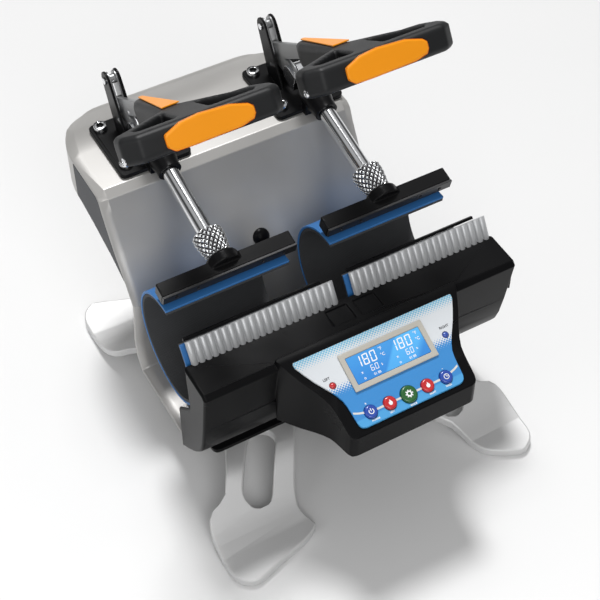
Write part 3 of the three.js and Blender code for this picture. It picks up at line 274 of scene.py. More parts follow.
def addFinish(graph, surface, given, color=None):
    look = {**plainLook, **given}
    finish = graph.add("ShaderNodeGroup", node_tree=finishGroup)
    graph.put(finish.inputs["Color"], color if color is not None else look["color"])
    graph.put(finish.inputs["Roughness"], look["roughness"])
    graph.put(finish.inputs["Color Drift"], look["colorDrift"])
    graph.put(finish.inputs["Roughness Drift"], look["roughnessDrift"])
    graph.put(finish.inputs["Grain Scale"], look["grainScale"])
    graph.put(finish.inputs["Edge Wear"], look["edgeWear"])
    graph.put(finish.inputs["Dust"], look["dust"])
    graph.put(surface.inputs["Base Color"], finish.outputs["Color"])
    graph.put(surface.inputs["Roughness"], finish.outputs["Roughness"])
    bump = graph.add("ShaderNodeBump")
    graph.put(bump.inputs["Strength"], look["bump"])
    graph.put(bump.inputs["Distance"], look["bumpHeight"])
    graph.put(bump.inputs["Height"], finish.outputs["Height"])
    graph.put(surface.inputs["Normal"], bump.outputs[0])
    return bump


# Plain finishes by name; colours are linear
looks = {
    "silverPaint": {
        "color": (0.465, 0.455, 0.44), "roughness": 0.36, "metallic": 0.4, "colorDrift": 0.2,
        "grainScale": 1600.0, "bump": 0.06,
    },
    "darkGreyPlastic": {"color": (0.06, 0.063, 0.07), "roughness": 0.6, "bump": 0.25},
    "blackPlastic": {
        "color": (0.005, 0.005, 0.0055), "roughness": 0.28, "specular": 0.06,
        "roughnessDrift": 0.06, "dust": 0.002, "grainScale": 1400.0, "bump": 0.08,
        "edgeWear": 0.02,
    },
    "blackPaint": {
        "color": (0.005, 0.005, 0.0055), "roughness": 0.3, "specular": 0.12,
        "roughnessDrift": 0.06, "dust": 0.003, "bump": 0.12, "edgeWear": 0.03,
    },
    "chrome": {
        "color": (0.82, 0.83, 0.85), "roughness": 0.12, "metallic": 1.0, "colorDrift": 0.05,
        "roughnessDrift": 0.08, "bump": 0.02, "edgeWear": 0.0,
    },
    "zincSteel": {"color": (0.36, 0.365, 0.37), "roughness": 0.36, "metallic": 0.9, "bump": 0.08},
    "darkSteel": {
        "color": (0.03, 0.03, 0.032), "roughness": 0.35, "metallic": 0.5, "bump": 0.08,
        "edgeWear": 0.05,
    },
    "legSteel": {
        "color": (0.68, 0.68, 0.68), "roughness": 0.5, "metallic": 0.35, "bump": 0.05,
        "edgeWear": 0.5,
    },
    "handlePlastic": {
        "color": (0.010, 0.0105, 0.0115), "roughness": 0.46, "specular": 0.3, "dust": 0.008,
        "grainScale": 2200.0, "bump": 0.2,
    },
    "orangePlastic": {
        "color": (0.95, 0.33, 0.008), "roughness": 0.36, "specular": 0.3, "dust": 0.01,
        "bump": 0.12,
    },
    "ribbedAluminium": {
        "color": (0.50, 0.51, 0.52), "roughness": 0.38, "metallic": 0.35, "bump": 0.1,
    },
    "blueSilicone": {
        "color": (0.022, 0.155, 0.43), "roughness": 0.5, "grainScale": 2600.0, "bump": 0.15,
    },
    "bezelPlastic": {"color": (0.46, 0.44, 0.39), "roughness": 0.4, "bump": 0.1},
    "circuitBoard": {"color": (0.02, 0.14, 0.05), "roughness": 0.5, "bump": 0.1},
    "blueKey": {"color": (0.008, 0.055, 0.36), "roughness": 0.25, "coat": 0.5, "bump": 0.03},
    "redKey": {"color": (0.52, 0.008, 0.012), "roughness": 0.25, "coat": 0.5, "bump": 0.03},
    "greenKey": {"color": (0.005, 0.10, 0.012), "roughness": 0.25, "coat": 0.5, "bump": 0.03},
    "whitePrint": {"color": (0.85, 0.86, 0.88), "roughness": 0.5, "bump": 0.02, "edgeWear": 0.0},
    "linePrint": {"color": (0.66, 0.64, 0.60), "roughness": 0.45, "bump": 0.02, "edgeWear": 0.0},
    "blackPrint": {"color": (0.02, 0.02, 0.025), "roughness": 0.5, "bump": 0.02, "edgeWear": 0.0},
}


def makeLook(name, given):
    look = {**plainLook, **given}
    material, graph, surface = newMaterial(name)
    surface.inputs["Metallic"].default_value = look["metallic"]
    surface.inputs["Specular IOR Level"].default_value = look["specular"]
    surface.inputs["Coat Weight"].default_value = look["coat"]
    surface.inputs["Coat Roughness"].default_value = look["coatRoughness"]
    addFinish(graph, surface, look)
    return material


materials = {name: makeLook(name, look) for name, look in looks.items()}


# Woven lining of the mats
liningLook = {
    "color": (0.05, 0.052, 0.056), "threadColor": (0.02, 0.021, 0.023), "roughness": 0.85, "bump": 0.5,
    "edgeWear": 0.0, "threads": 3200.0,
}


def makeLining():
    look = liningLook
    material, graph, surface = newMaterial("darkLining")
    weave = graph.add("ShaderNodeGroup", node_tree=weaveGroup)
    graph.put(weave.inputs["Vector"], graph.add("ShaderNodeUVMap").outputs[0])
    graph.put(weave.inputs["Threads"], look["threads"])
    color = graph.mix(weave.outputs["Shade"], look["threadColor"], look["color"])
    bump = addFinish(graph, surface, look, color)
    graph.put(bump.inputs["Height"], weave.outputs["Height"])
    return material


# Printed panel: its bands are heights on the label in metres, from its top edge down
labelPrint = {
    "blue": (0.030, 0.235, 0.58), "paper": (0.66, 0.69, 0.72), "pale": (0.16, 0.47, 0.66),
    "foot": (0.06, 0.33, 0.66), "topBand": (-0.013, -0.002), "topCover": 0.4,
    "lowBand": (-0.031, -0.047), "footBand": (-0.0655, -0.0665), "paleBand": (-0.028, -0.022),
    "dotsPerMetre": 520.0, "roughness": 0.3, "bump": 0.03, "edgeWear": 0.0, "colorDrift": 0.04,
    "coat": 0.3, "coatRoughness": 0.2,
}


def makeLabel():
    look = labelPrint
    material, graph, surface = newMaterial("panelFilm")
    place = graph.add("ShaderNodeTexCoord").outputs["Object"]
    split = graph.add("ShaderNodeSeparateXYZ")
    graph.put(split.inputs[0], place)
    top = graph.ramp(split.outputs["Y"], *look["topBand"], 0.0, look["topCover"])
    low = graph.ramp(split.outputs["Y"], *look["lowBand"])
    dots = graph.add("ShaderNodeGroup", node_tree=dotGroup)
    graph.put(dots.inputs["Vector"], place)
    graph.put(dots.inputs["Cover"], graph.math("MAXIMUM", top, low))
    graph.put(dots.inputs["Dots Per Metre"], look["dotsPerMetre"])
    blue = graph.mix(graph.ramp(split.outputs["Y"], *look["footBand"]), look["blue"], look["foot"])
    ink = graph.mix(graph.ramp(split.outputs["Y"], *look["paleBand"]), blue, look["pale"])
    color = graph.mix(dots.outputs["Mask"], look["paper"], ink)
    addFinish(graph, surface, look, color)
    surface.inputs["Coat Weight"].default_value = look["coat"]
    surface.inputs["Coat Roughness"].default_value = look["coatRoughness"]
    return material


# Lit display: a slanted bright band of painted reflection over a blue that pales towards the top, all of it
# glowing
displayLight = {
    "deep": (0.020, 0.165, 0.46), "reflectionAndRiseColor": (0.07, 0.34, 0.64), "glow": 0.5, "slant": -0.9,
    "reflectionStart": (0.026, 0.030), "reflectionEnd": (0.062, 0.052), "reflectionShare": 0.6, "rise": (-0.040, -0.016),
    "riseShare": 0.3, "roughness": 0.12, "bump": 0.01, "edgeWear": 0.0, "dust": 0.02, "coat": 0.5,
}


def makeDisplay():
    look = displayLight
    material, graph, surface = newMaterial("lcdGlass")
    split = graph.add("ShaderNodeSeparateXYZ")
    graph.put(split.inputs[0], graph.add("ShaderNodeTexCoord").outputs["Object"])
    slant = graph.math("MULTIPLY_ADD", split.outputs["Y"], look["slant"], split.outputs["X"])
    # Painted reflection: a slanted bright band across the glass, added to the colour and to its glow
    band = graph.math("MULTIPLY", graph.ramp(slant, *look["reflectionStart"]), graph.ramp(slant, *look["reflectionEnd"]))
    rise = graph.math("MULTIPLY", graph.ramp(split.outputs["Y"], *look["rise"]), look["riseShare"])
    light = graph.math("MULTIPLY_ADD", band, look["reflectionShare"], rise)
    color = graph.mix(light, look["deep"], look["reflectionAndRiseColor"])
    addFinish(graph, surface, look, color)
    graph.put(surface.inputs["Emission Color"], color)
    surface.inputs["Emission Strength"].default_value = look["glow"]
    surface.inputs["Coat Weight"].default_value = look["coat"]
    return material


# Knurled steel: painted shade darkens the grooves of the knurl, where the Pointiness is low
knurlLook = {
    "groove": (0.02, 0.02, 0.022), "crest": (0.72, 0.73, 0.74), "band": (0.46, 0.53), "roughness": 0.26,
    "metallic": 0.85, "bump": 0.02, "edgeWear": 0.0, "dust": 0.0, "colorDrift": 0.05,
}


def makeKnurl():
    look = knurlLook
    material, graph, surface = newMaterial("knurledChromeGrooveShade")
    # Painted shade: low Pointiness in the grooves mixes in the dark groove colour
    crest = graph.ramp(graph.add("ShaderNodeNewGeometry").outputs["Pointiness"], *look["band"])
    addFinish(graph, surface, look, graph.mix(crest, look["groove"], look["crest"]))
    surface.inputs["Metallic"].default_value = look["metallic"]
    return material


# Each finish with a making function of its own
materials["knurledChromeGrooveShade"] = makeKnurl()
materials["darkLining"] = makeLining()
materials["panelFilm"] = makeLabel()
materials["lcdGlass"] = makeDisplay()
print("stage: materials made,", len(materials))

slotLooks = {
    "silver_paint": "silverPaint", "black_paint": "blackPaint", "dark_grey_plastic": "darkGreyPlastic",
    "black_plastic": "blackPlastic", "chrome": "chrome", "zinc_steel": "zincSteel", "leg_steel": "legSteel",
    "handle_plastic": "handlePlastic", "orange_plastic": "orangePlastic",
    "ribbed_aluminium": "ribbedAluminium", "blue_silicone": "blueSilicone",
    "dark_lining": "darkLining", "panel_film": "panelFilm", "bezel_plastic": "bezelPlastic",
    "lcd_glass": "lcdGlass", "circuit_board": "circuitBoard",
    "blue_key": "blueKey", "red_key": "redKey", "green_key": "greenKey",
}


# Mesh helpers; angles here are in degrees, and an edge sharper than its angle stays crisp
def finishMesh(built, name, angle=35):
    mesh = bpy.data.meshes.new(name)
    built.normal_update()
    built.to_mesh(mesh)
    built.free()
    if "custom_normal" in mesh.attributes:
        mesh.attributes.remove(mesh.attributes["custom_normal"])
    mesh.shade_smooth()
    mesh.set_sharp_from_angle(angle=math.radians(angle))
    piece = bpy.data.objects.new(name, mesh)
    bpy.context.scene.collection.objects.link(piece)
    return piece


def dress(piece, node, look=None, replaced=None, place=None):
    if place is not None:
        piece.matrix_world = place
    look = look or slotLooks[slotOf[node]]
    piece.data.materials.clear()
    piece.data.materials.append(materials[look])
    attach(piece, bodyNames[nodes[node].parent])
    if replaced is not None:
        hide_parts(*replaced)


# Rounds the edges sharper than an angle; edge is in millimetres
def soften(piece, edge, segments=3, angle=32):
    bevel = piece.modifiers.new("softEdges", "BEVEL")
    bevel.width = edge / 1000
    bevel.segments = segments
    bevel.limit_method = "ANGLE"
    bevel.angle_limit = math.radians(angle)
    bevel.use_clamp_overlap = False
    bevel.miter_outer = "MITER_ARC"
    normals = piece.modifiers.new("evenNormals", "WEIGHTED_NORMAL")
    normals.keep_sharp = True


# A solid's own mesh, with flat faces joined and cut again into triangles and quads
joinLook = {"gap": 0.02, "angle": 1}


def frameMesh(node, place=None):
    built = bmesh.new()
    built.from_mesh(nodes[node].data)
    bmesh.ops.remove_doubles(built, verts=built.verts, dist=joinLook["gap"] / 1000)
    flat = math.radians(joinLook["angle"])
    bmesh.ops.dissolve_limit(built, angle_limit=flat, verts=built.verts, edges=built.edges)
    wide = [face for face in built.faces if len(face.verts) > 4]
    bmesh.ops.triangulate(built, faces=wide, quad_method="BEAUTY", ngon_method="BEAUTY")
    if place is not None:
        built.transform(place.inverted())
    return built


def softCopy(node, edge, angle=35, place=None, look=None):
    piece = finishMesh(frameMesh(node, place), node + "_soft", angle)
    if edge > 0:
        soften(piece, edge)
    dress(piece, node, look, [node], place)


# Turned body about local Z from rows of (radius, height) in millimetres
def turnedMesh(rows, sides, shape=None):
    built = bmesh.new()
    rings = []
    for index, (radius, height) in enumerate(rows):
        if radius == 0:
            rings.append([built.verts.new((0, 0, height / 1000))])
            continue
        ring = []
        for side in range(sides):
            turn = 2 * math.pi * side / sides
            reach = radius if shape is None else shape(index, turn, radius)
            corner = Vector((reach * math.cos(turn), reach * math.sin(turn), height)) / 1000
            ring.append(built.verts.new(corner))
        rings.append(ring)
    for low, high in zip(rings, rings[1:]):
        for side in range(sides):
            after = (side + 1) % sides
            if len(low) == 1:
                built.faces.new((low[0], high[after], high[side]))
            elif len(high) == 1:
                built.faces.new((low[side], low[after], high[0]))
            else:
                built.faces.new((low[side], low[after], high[after], high[side]))
    bmesh.ops.recalc_face_normals(built, faces=built.faces)
    return built


# Edge rounding of the stiff pieces that keep their CAD form, in millimetres; SIDE is left or right
softEdges = {
    "shell": 0.9, "end_cap_SIDE": 0.6, "wall_grommet": 0, "front_housing": 0.8,
    "base_plate": 0.5, "leg_front_SIDE": 1.5, "leg_rear_SIDE": 1.5, "power_inlet": 0.4,
    "switch_frame": 0.4, "switch_rocker": 0.5, "control_board": 0.2,
    "mat_cradle_SIDE": 0.8, "edge_bar_SIDE": 0.3, "press_bar_SIDE": 1.1, "clamp_strip_SIDE": 0.3,
    "plunger_rod_SIDE": 0.3, "clamp_base_SIDE": 0.5, "pivot_pin_SIDE": 0.4, "swing_link_SIDE": 0.3,
    "lever_SIDE": 0.5,
}
stiffLooks = {"clamp_strip_SIDE": "darkSteel"}
sharpAngles = {"shell": 48}
plainSharpAngle = 40


def buildStiffPieces():
    for pattern, edge in softEdges.items():
        angle = sharpAngles.get(pattern, plainSharpAngle)
        names = [pattern.replace("SIDE", side) for side in stations] if "SIDE" in pattern else [pattern]
        for name in names:
            softCopy(name, edge, angle, look=stiffLooks.get(pattern))


buildStiffPieces()
print("stage: stiff pieces")

# Handle loops with moulded, rounded edges; lengths in millimetres, the tilt in radians
handleLook = {
    "voxel": 1.3, "smoothing": 9, "smoothFactor": 0.5, "tilt": -0.565, "pivotY": 330, "pivotZ": 252,
    "shift": 6.5, "gripEdge": 0.9, "inlayEdge": 0.4,
}
handleScrew = {
    "left": 64.2, "right": 63.6, "forward": 197, "rise": -5, "radius": 3.4, "height": 1.0,
    "sides": 40, "slotShare": 0.4,
    "profileShares": [(1, 0.3), (0.8, 0.75), (0.5, 1), (0.42, 1), (0.38, 0.4)],
}


def handleFrame(side):
    look = handleLook
    return frameAt(stations[side] - look["shift"], look["pivotY"], look["pivotZ"], look["tilt"])


def buildHandles():
    for side in stations:
        node = "handle_" + side
        piece = finishMesh(frameMesh(node), node + "_soft")
        remesh = piece.modifiers.new("moulded", "REMESH")
        remesh.mode = "VOXEL"
        remesh.voxel_size = handleLook["voxel"] / 1000
        remesh.use_smooth_shade = True
        smooth = piece.modifiers.new("rounded", "SMOOTH")
        smooth.factor = handleLook["smoothFactor"]
        smooth.iterations = handleLook["smoothing"]
        dress(piece, node, None, [node])
        softCopy("grip_insert_" + side, handleLook["gripEdge"])
        softCopy("neck_inlay_" + side, handleLook["inlayEdge"])


def roundScrewMesh():
    radius, height = handleScrew["radius"], handleScrew["height"]
    head = [(radius * wide, height * high) for wide, high in handleScrew["profileShares"]]
    rows = [(0, -height), (radius, -height), *head, (0, height * handleScrew["slotShare"])]
    return turnedMesh(rows, handleScrew["sides"])


# One screw closes each end of a handle's loop
def buildHandleScrews():
    look = handleScrew
    for side in stations:
        for end, reach in (("left", -look["left"]), ("right", look["right"])):
            piece = finishMesh(roundScrewMesh(), f"handle_screw_{side}_{end}", angle=40)
            place = Matrix.Translation(Vector((reach, -look["forward"], look["rise"])) / 1000)
            turn = Matrix.Rotation(math.copysign(math.pi / 2, reach), 4, "Y")
            dress(piece, "handle_" + side, "chrome", None, handleFrame(side) @ place @ turn)


buildHandles()
buildHandleScrews()
print("stage: handles")

# Rear clamp: chrome socket head screws stand over the CAD's own heads
screwLook = {
    "radius": 5.85, "plateZ": 226.3, "height": 4.6, "socketRadius": 2.9, "socketDepth": 2.5, "sides": 48,
    "shoulder": 0.7, "round": 0.25, "crown": 0.02, "crownInset": 0.8, "rim": 0.35, "cornerReach": 1.1,
    "places": [-24, 24], "rows": [286, 338],
}
screwPlaces = [(x, y) for y in screwLook["rows"] for x in screwLook["places"]]


def screwMesh():
    look = screwLook
    radius, height, socket = look["radius"], look["height"], look["socketRadius"]
    floor, low, top = height - look["socketDepth"], height - look["round"], height + look["crown"]
    outside = [(0, 0), (radius, 0), (radius, height - look["shoulder"]), (radius - look["round"], low)]
    outside += [(radius - look["crownInset"], top), (socket + look["rim"], top)]
    rows = [*outside, (socket, low), (socket, floor), (0, floor)]

    # The socket inside the head has six flats
    def shape(index, turn, reach):
        if index < len(outside):
            return reach
        part = (turn % (math.pi / 3)) - math.pi / 6
        return reach * math.cos(math.pi / 6) / math.cos(part) * look["cornerReach"]

    return turnedMesh(rows, look["sides"], shape)


def buildScrews():
    for side, x in stations.items():
        for index, (across, y) in enumerate(screwPlaces):
            piece = finishMesh(screwMesh(), f"screw_{side}_{index}", angle=30)
            dress(piece, "clamp_base_" + side, "chrome", None, frameAt(x + across, y, screwLook["plateZ"], 0))


buildScrews()
print("stage: screws")

# Knurled nut on each rod's front end
nutLook = {
    "start": 4.6, "end": 27.6, "baseRadius": 13.5, "tipRadius": 10.5, "diamonds": 16, "depth": 1.5,
    "slideTilt": 0.243, "backY": 157, "axisZ": 215.5, "steps": 64, "sidesPerDiamond": 8,
    "tipInset": 1.6, "tipRound": (0.6, 0.25), "border": 0.9, "baseRound": (0.9, 0.2), "baseInset": 2.4,
    "flareShare": 1.5, "flarePower": 0.8, "grooveShare": 1.5,
}


def slideFrame(x):
    return frameAt(x, nutLook["backY"], nutLook["axisZ"], nutLook["slideTilt"])


def triangle(value):
    return 1 - abs(2 * (value % 1) - 1)


def nutMesh():
    look = nutLook
    start, end, tip, base = look["start"], look["end"], look["tipRadius"], look["baseRadius"]
    pitch = 2 * math.pi * base / look["diamonds"]
    count, border = look["steps"], look["border"]
    tipIn, tipUp = look["tipRound"]
    baseIn, baseDown = look["baseRound"]
    rows = [(0, start), (tip - look["tipInset"], start), (tip - tipIn, start + tipUp)]
    first = len(rows)
    for step in range(count + 1):
        share = step / count
        place = start + border + share * (end - start - 2 * border)
        rows.append((tip + (base - tip) * min(1, share * look["flareShare"]) ** look["flarePower"], place))
    rows += [(base - baseIn, end - baseDown), (base - look["baseInset"], end), (0, end)]

    def shape(index, turn, radius):
        if index < first or index > first + count:
            return radius
        around = turn * look["diamonds"] / (2 * math.pi)
        along = rows[index][1] / pitch
        groove = min(triangle(around + along), triangle(around - along))
        return radius - look["depth"] * (1 - min(1, groove * look["grooveShare"]))

    built = turnedMesh(rows, look["diamonds"] * look["sidesPerDiamond"], shape)
    built.transform(Matrix.Rotation(-math.pi / 2, 4, "X"))
    return built


def buildNuts():
    for side, x in stations.items():
        node = "knurled_nut_" + side
        piece = finishMesh(nutMesh(), node + "_soft", angle=60)
        dress(piece, node, "knurledChromeGrooveShade", [node], slideFrame(x))


buildNuts()
print("stage: nuts")

# Heating mats: one blue skin and one dark lining each, swept round the trough and up its front holder
matLook = {
    "centreY": 144, "centreZ": 154, "midRadius": 48, "flapStart": 95, "troughEnd": -144, "arcSteps": 96,
    "holderPath": [(105.2, 140.2), (106.5, 150.4), (107.86, 166.84), (113.7, 175.8), (119.56, 184.84)],
    "holderSteps": 3, "smoothing": 3, "left": -60, "right": 52, "skin": 2.2, "lining": 2.8,
    "skinOffset": 1.4, "liningOffset": -1.1, "liningInset": 0.4, "columns": 28, "edge": 0.5,
    "bendFrom": (184.8, 149.1), "bendTo": (196, 168.6), "fill": 0.9,
}


# The sheet seen from its end, as (Y, Z): round the trough, then up along its front holder
def matPath():
    look = matLook
    points = []
    sweep, steps = look["troughEnd"] - look["flapStart"], look["arcSteps"]
    for step in range(steps + 1):
        turn = math.radians(look["flapStart"] + sweep * step / steps)
        y = look["centreY"] + look["midRadius"] * math.cos(turn)
        points.append((y, look["centreZ"] + look["midRadius"] * math.sin(turn)))
    holder = [points[-1], *look["holderPath"]]
    for low, high in zip(holder, holder[1:]):
        for step in range(look["holderSteps"]):
            part = (step + 1) / look["holderSteps"]
            points.append((low[0] + (high[0] - low[0]) * part, low[1] + (high[1] - low[1]) * part))
    for _ in range(look["smoothing"]):
        middle = [
            tuple((before[axis] + 2 * here[axis] + after[axis]) / 4 for axis in (0, 1))
            for before, here, after in zip(points, points[1:], points[2:])
        ]
        points = [points[0], *middle, points[-1]]
    return points


def matMesh(x, offset, thickness, inset):
    path = matPath()
    built = bmesh.new()
    uv = built.loops.layers.uv.new("sheet")
    columns = matLook["columns"]
    low, high = x + matLook["left"] + inset, x + matLook["right"] - inset
    length = 0
    grid = {}
    places = {}
    for row, (y, z) in enumerate(path):
        before, after = path[max(0, row - 1)], path[min(len(path) - 1, row + 1)]
        away = Vector((0, -(after[1] - before[1]), after[0] - before[0])).normalized()
        if row:
            length += math.dist(path[row - 1], path[row])
        for layer, shift in ((0, offset - thickness / 2), (1, offset + thickness / 2)):
            for column in range(columns + 1):
                across = low + (high - low) * column / columns
                point = at(across, y + away.y * shift, z + away.z * shift)
                grid[row, column, layer] = built.verts.new(point)
                places[grid[row, column, layer]] = (across / 1000, length / 1000)
    last = len(path) - 1
    for row in range(last):
        for column in range(columns):
            for layer in (0, 1):
                ring = [grid[row, column, layer], grid[row, column + 1, layer],
                        grid[row + 1, column + 1, layer], grid[row + 1, column, layer]]
                built.faces.new(ring)
        for column in (0, columns):
            built.faces.new([grid[row, column, 0], grid[row + 1, column, 0],
                             grid[row + 1, column, 1], grid[row, column, 1]])
    for row in (0, last):
        for column in range(columns):
            built.faces.new([grid[row, column, 0], grid[row, column + 1, 0],
                             grid[row, column + 1, 1], grid[row, column, 1]])
    bmesh.ops.recalc_face_normals(built, faces=built.faces)
    for face in built.faces:
        for loop in face.loops:
            loop[uv].uv = places[loop.vert]
    return built


def buildMats():
    look = matLook
    layers = {
        "skin": (look["skinOffset"], look["skin"], 0, "blueSilicone", "blue_silicone"),
        "lining": (look["liningOffset"], look["lining"], look["liningInset"], "darkLining", "dark_lining"),
    }
    for side, x in stations.items():
        for layer, (offset, thickness, inset, material, slotName) in layers.items():
            piece = finishMesh(matMesh(x, offset, thickness, inset), f"mat_{layer}_{side}_soft", angle=50)
            piece.data.materials.append(materials[material])
            soften(piece, look["edge"], segments=2, angle=60)
            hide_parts(f"mat_trough_{layer}_{side}", f"mat_flap_{layer}_{side}")
            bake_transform(piece)


buildMats()
print("stage: mats")

# Ribbed strips: rounded slats side by side on a backing
stripLook = {
    "left": -56.6, "right": 77.6, "foot": (103, 170), "top": (116, 190), "pitch": 6.1, "gap": 0.7,
    "thickness": 3.0, "crown": 1.5, "endRound": 1.3, "slatSteps": 8, "inset": 0.2, "backFace": 0.1,
    "backFoot": 0.8, "backTop": 0.4,
}


def stripFrame(x):
    foot, top = stripLook["foot"], stripLook["top"]
    lean = math.atan2(top[0] - foot[0], top[1] - foot[1])
    return Matrix.Translation(at(x, foot[0], foot[1])) @ Matrix.Rotation(-lean, 4, "X")


def stripMesh():
    look = stripLook
    built = bmesh.new()
    # From here on heights run along the strip and places are in millimetres
    height = math.dist(look["foot"], look["top"])
    count = round((look["right"] - look["left"]) / look["pitch"])
    pitch = (look["right"] - look["left"]) / count
    backing = look["thickness"] - look["crown"]

    def corner(x, y, z):
        return built.verts.new(Vector((x, y, z)) / 1000)

    # One slice of a slat: a crowned front and a flat back
    def ring(low, high, place, bulge):
        points = []
        for step in range(look["slatSteps"] + 1):
            share = step / look["slatSteps"]
            rise = math.sqrt(max(0, 1 - (2 * share - 1) ** 2)) * look["crown"] * bulge
            points.append(corner(low + (high - low) * share, -(backing + rise), place))
        points.append(corner(high, -look["inset"], place))
        points.append(corner(low, -look["inset"], place))
        return points

    end = look["endRound"]
    # Height, share of the crown and share of the width
    rows = [(0, 0.15, 0.55), (0.4, 0.6, 0.8), (end, 1, 1), (height - end, 1, 1), (height - 0.3, 0.5, 0.9)]
    for slat in range(count):
        low = look["left"] + slat * pitch + look["gap"] / 2
        high = low + pitch - look["gap"]
        middle = (low + high) / 2
        rings = []
        for place, bulge, widthShare in rows:
            half = (high - low) / 2 * widthShare
            rings.append(ring(middle - half, middle + half, place, bulge))
        for below, above in zip(rings, rings[1:]):
            size = len(below)
            for index in range(size):
                after = (index + 1) % size
                built.faces.new((below[index], below[after], above[after], above[index]))
        built.faces.new(rings[0])
        built.faces.new(rings[-1])
    corners = []
    low, high = look["backFoot"], height - look["backTop"]
    for y in (-look["backFace"], -backing + look["inset"]):
        corners.append(corner(look["left"], y, low))
        corners.append(corner(look["right"], y, low))
        corners.append(corner(look["right"], y, high))
        corners.append(corner(look["left"], y, high))
    for face in ((0, 1, 2, 3), (4, 5, 6, 7), (0, 1, 5, 4), (1, 2, 6, 5), (2, 3, 7, 6), (3, 0, 4, 7)):
        built.faces.new([corners[index] for index in face])
    bmesh.ops.recalc_face_normals(built, faces=built.faces)
    return built


def buildStrips():
    for side, x in stations.items():
        node = "ribbed_strip_" + side
        piece = finishMesh(stripMesh(), node + "_soft", angle=50)
        dress(piece, node, None, [node], stripFrame(x))


buildStrips()
print("stage: ribbed strips")

# Console: label, display, keys and lamps lie in the label's own frame, X across and -Y down the slope
labelPlace = {"x": 10.5, "y": 66, "z": 178, "tilt": 0.4}
labelFrame = frameAt(**labelPlace)
keyLook = {
    "spacing": 17.6, "row": -63.5, "radius": 5.6, "middleRadius": 7.2, "top": 4.1, "low": 0.6, "sides": 56,
    "markShare": 0.42, "markDepth": 0.3, "dishShare": 0.3,
    "rim": [(0, 1.5), (0.25, 0.8), (0.8, 0.25), (1.5, 0.02), (2.0, 0.1)], "dish": 0.32, "dishMiddle": 0.36,
}
keyColors = ["blueKey", "redKey", "greenKey", "redKey", "blueKey"]


def keyMesh(radius):
    low, top = keyLook["low"], keyLook["top"]
    rows = [(0, low), (radius, low)]
    rows += [(radius - inward, top - down) for inward, down in keyLook["rim"]]
    rows += [(radius * keyLook["dishShare"], top - keyLook["dish"]), (0, top - keyLook["dishMiddle"])]
    return turnedMesh(rows, keyLook["sides"])


# Flat outlines in millimetres, raised from one height to another
def flatMesh(outlines, low, high):
    built = bmesh.new()
    for outline in outlines:
        bottom = [built.verts.new((x / 1000, y / 1000, low / 1000)) for x, y in outline]
        top = [built.verts.new((x / 1000, y / 1000, high / 1000)) for x, y in outline]
        built.faces.new(top)
        built.faces.new(bottom[::-1])
        for index in range(len(outline)):
            after = (index + 1) % len(outline)
            built.faces.new((bottom[index], bottom[after], top[after], top[index]))
    bmesh.ops.recalc_face_normals(built, faces=built.faces)
    return built


def barOutline(x0, y0, x1, y1):
    return [(x0, y0), (x1, y0), (x1, y1), (x0, y1)]


def arcOutline(x, y, radius, width, startAngle, endAngle, steps=20):
    outer, inner = [], []
    for step in range(steps + 1):
        turn = math.radians(startAngle + (endAngle - startAngle) * step / steps)
        outer.append((x + radius * math.cos(turn), y + radius * math.sin(turn)))
        inner.append((x + (radius - width) * math.cos(turn), y + (radius - width) * math.sin(turn)))
    return outer + inner[::-1]


# Icons: the numbers in them are shares of the size
def powerIcon(x, y, size):
    bar = barOutline(x - size * 0.14, y, x + size * 0.14, y + size * 1.1)
    return [arcOutline(x, y, size, size * 0.28, -230, 50), bar]


def flameIcon(x, y, size):
    shape = [(0, 1.15), (0.42, 0.5), (0.72, 0.0), (0.66, -0.5), (0.35, -0.85), (0, -0.95), (-0.35, -0.85),
             (-0.66, -0.5), (-0.7, 0.0), (-0.45, 0.45), (-0.3, 0.2), (-0.1, 0.65)]
    return [[(x + size * across, y + size * up) for across, up in shape[::-1]]]


def gearIcon(x, y, size):
    teeth = [arcOutline(x, y, size * 0.8, size * 0.36, 0, 359, 40)]
    for tooth in range(8):
        start = tooth * 45
        teeth.append(arcOutline(x, y, size * 1.1, size * 0.34, start - 9, start + 9, 2))
    return teeth


def timerIcon(x, y, size):
    half = size * 0.1
    upright = barOutline(x - half, y, x + half, y + size * 0.7)
    sideways = barOutline(x, y - half, x + size * 0.6, y + half)
    return [arcOutline(x, y, size, size * 0.22, 0, 359, 40), upright, sideways]


icons = [powerIcon, flameIcon, gearIcon, flameIcon, timerIcon]


def buildKeys():
    row, level = keyLook["row"], keyLook["top"]
    centre = len(keyColors) // 2
    for index, color in enumerate(keyColors):
        node = f"button_{index + 1}"
        x = (index - centre) * keyLook["spacing"]
        radius = keyLook["middleRadius"] if index == centre else keyLook["radius"]
        place = labelFrame @ Matrix.Translation((x / 1000, row / 1000, 0))
        dress(finishMesh(keyMesh(radius), node + "_soft", angle=50), node, color, [node], place)
        outlines = icons[index](x, row, radius * keyLook["markShare"])
        mark = finishMesh(flatMesh(outlines, level - keyLook["markDepth"], level), node + "_mark")
        dress(mark, node, "whitePrint", None, labelFrame)


# Raised print; size, place, level and stroke weight are in millimetres
printLook = {"level": 1.97, "depth": 0.04, "weight": 0.06, "glassWeight": 0.04, "glassGap": 0.05}


def printText(name, text, size, x, y, level, look, node, weight):
    curve = bpy.data.curves.new(name, "FONT")
    curve.body = text
    curve.size = size / 1000
    curve.align_x = "CENTER"
    curve.align_y = "CENTER"
    curve.extrude = printLook["depth"] / 1000
    curve.offset = weight / 1000
    holder = bpy.data.objects.new(name + "Curve", curve)
    bpy.context.scene.collection.objects.link(holder)
    bpy.context.view_layer.update()
    mesh = bpy.data.meshes.new_from_object(holder)
    mesh.name = name
    bpy.data.objects.remove(holder)
    piece = bpy.data.objects.new(name, mesh)
    bpy.context.scene.collection.objects.link(piece)
    dress(piece, node, look, None, labelFrame @ Matrix.Translation(Vector((x, y, level)) / 1000))


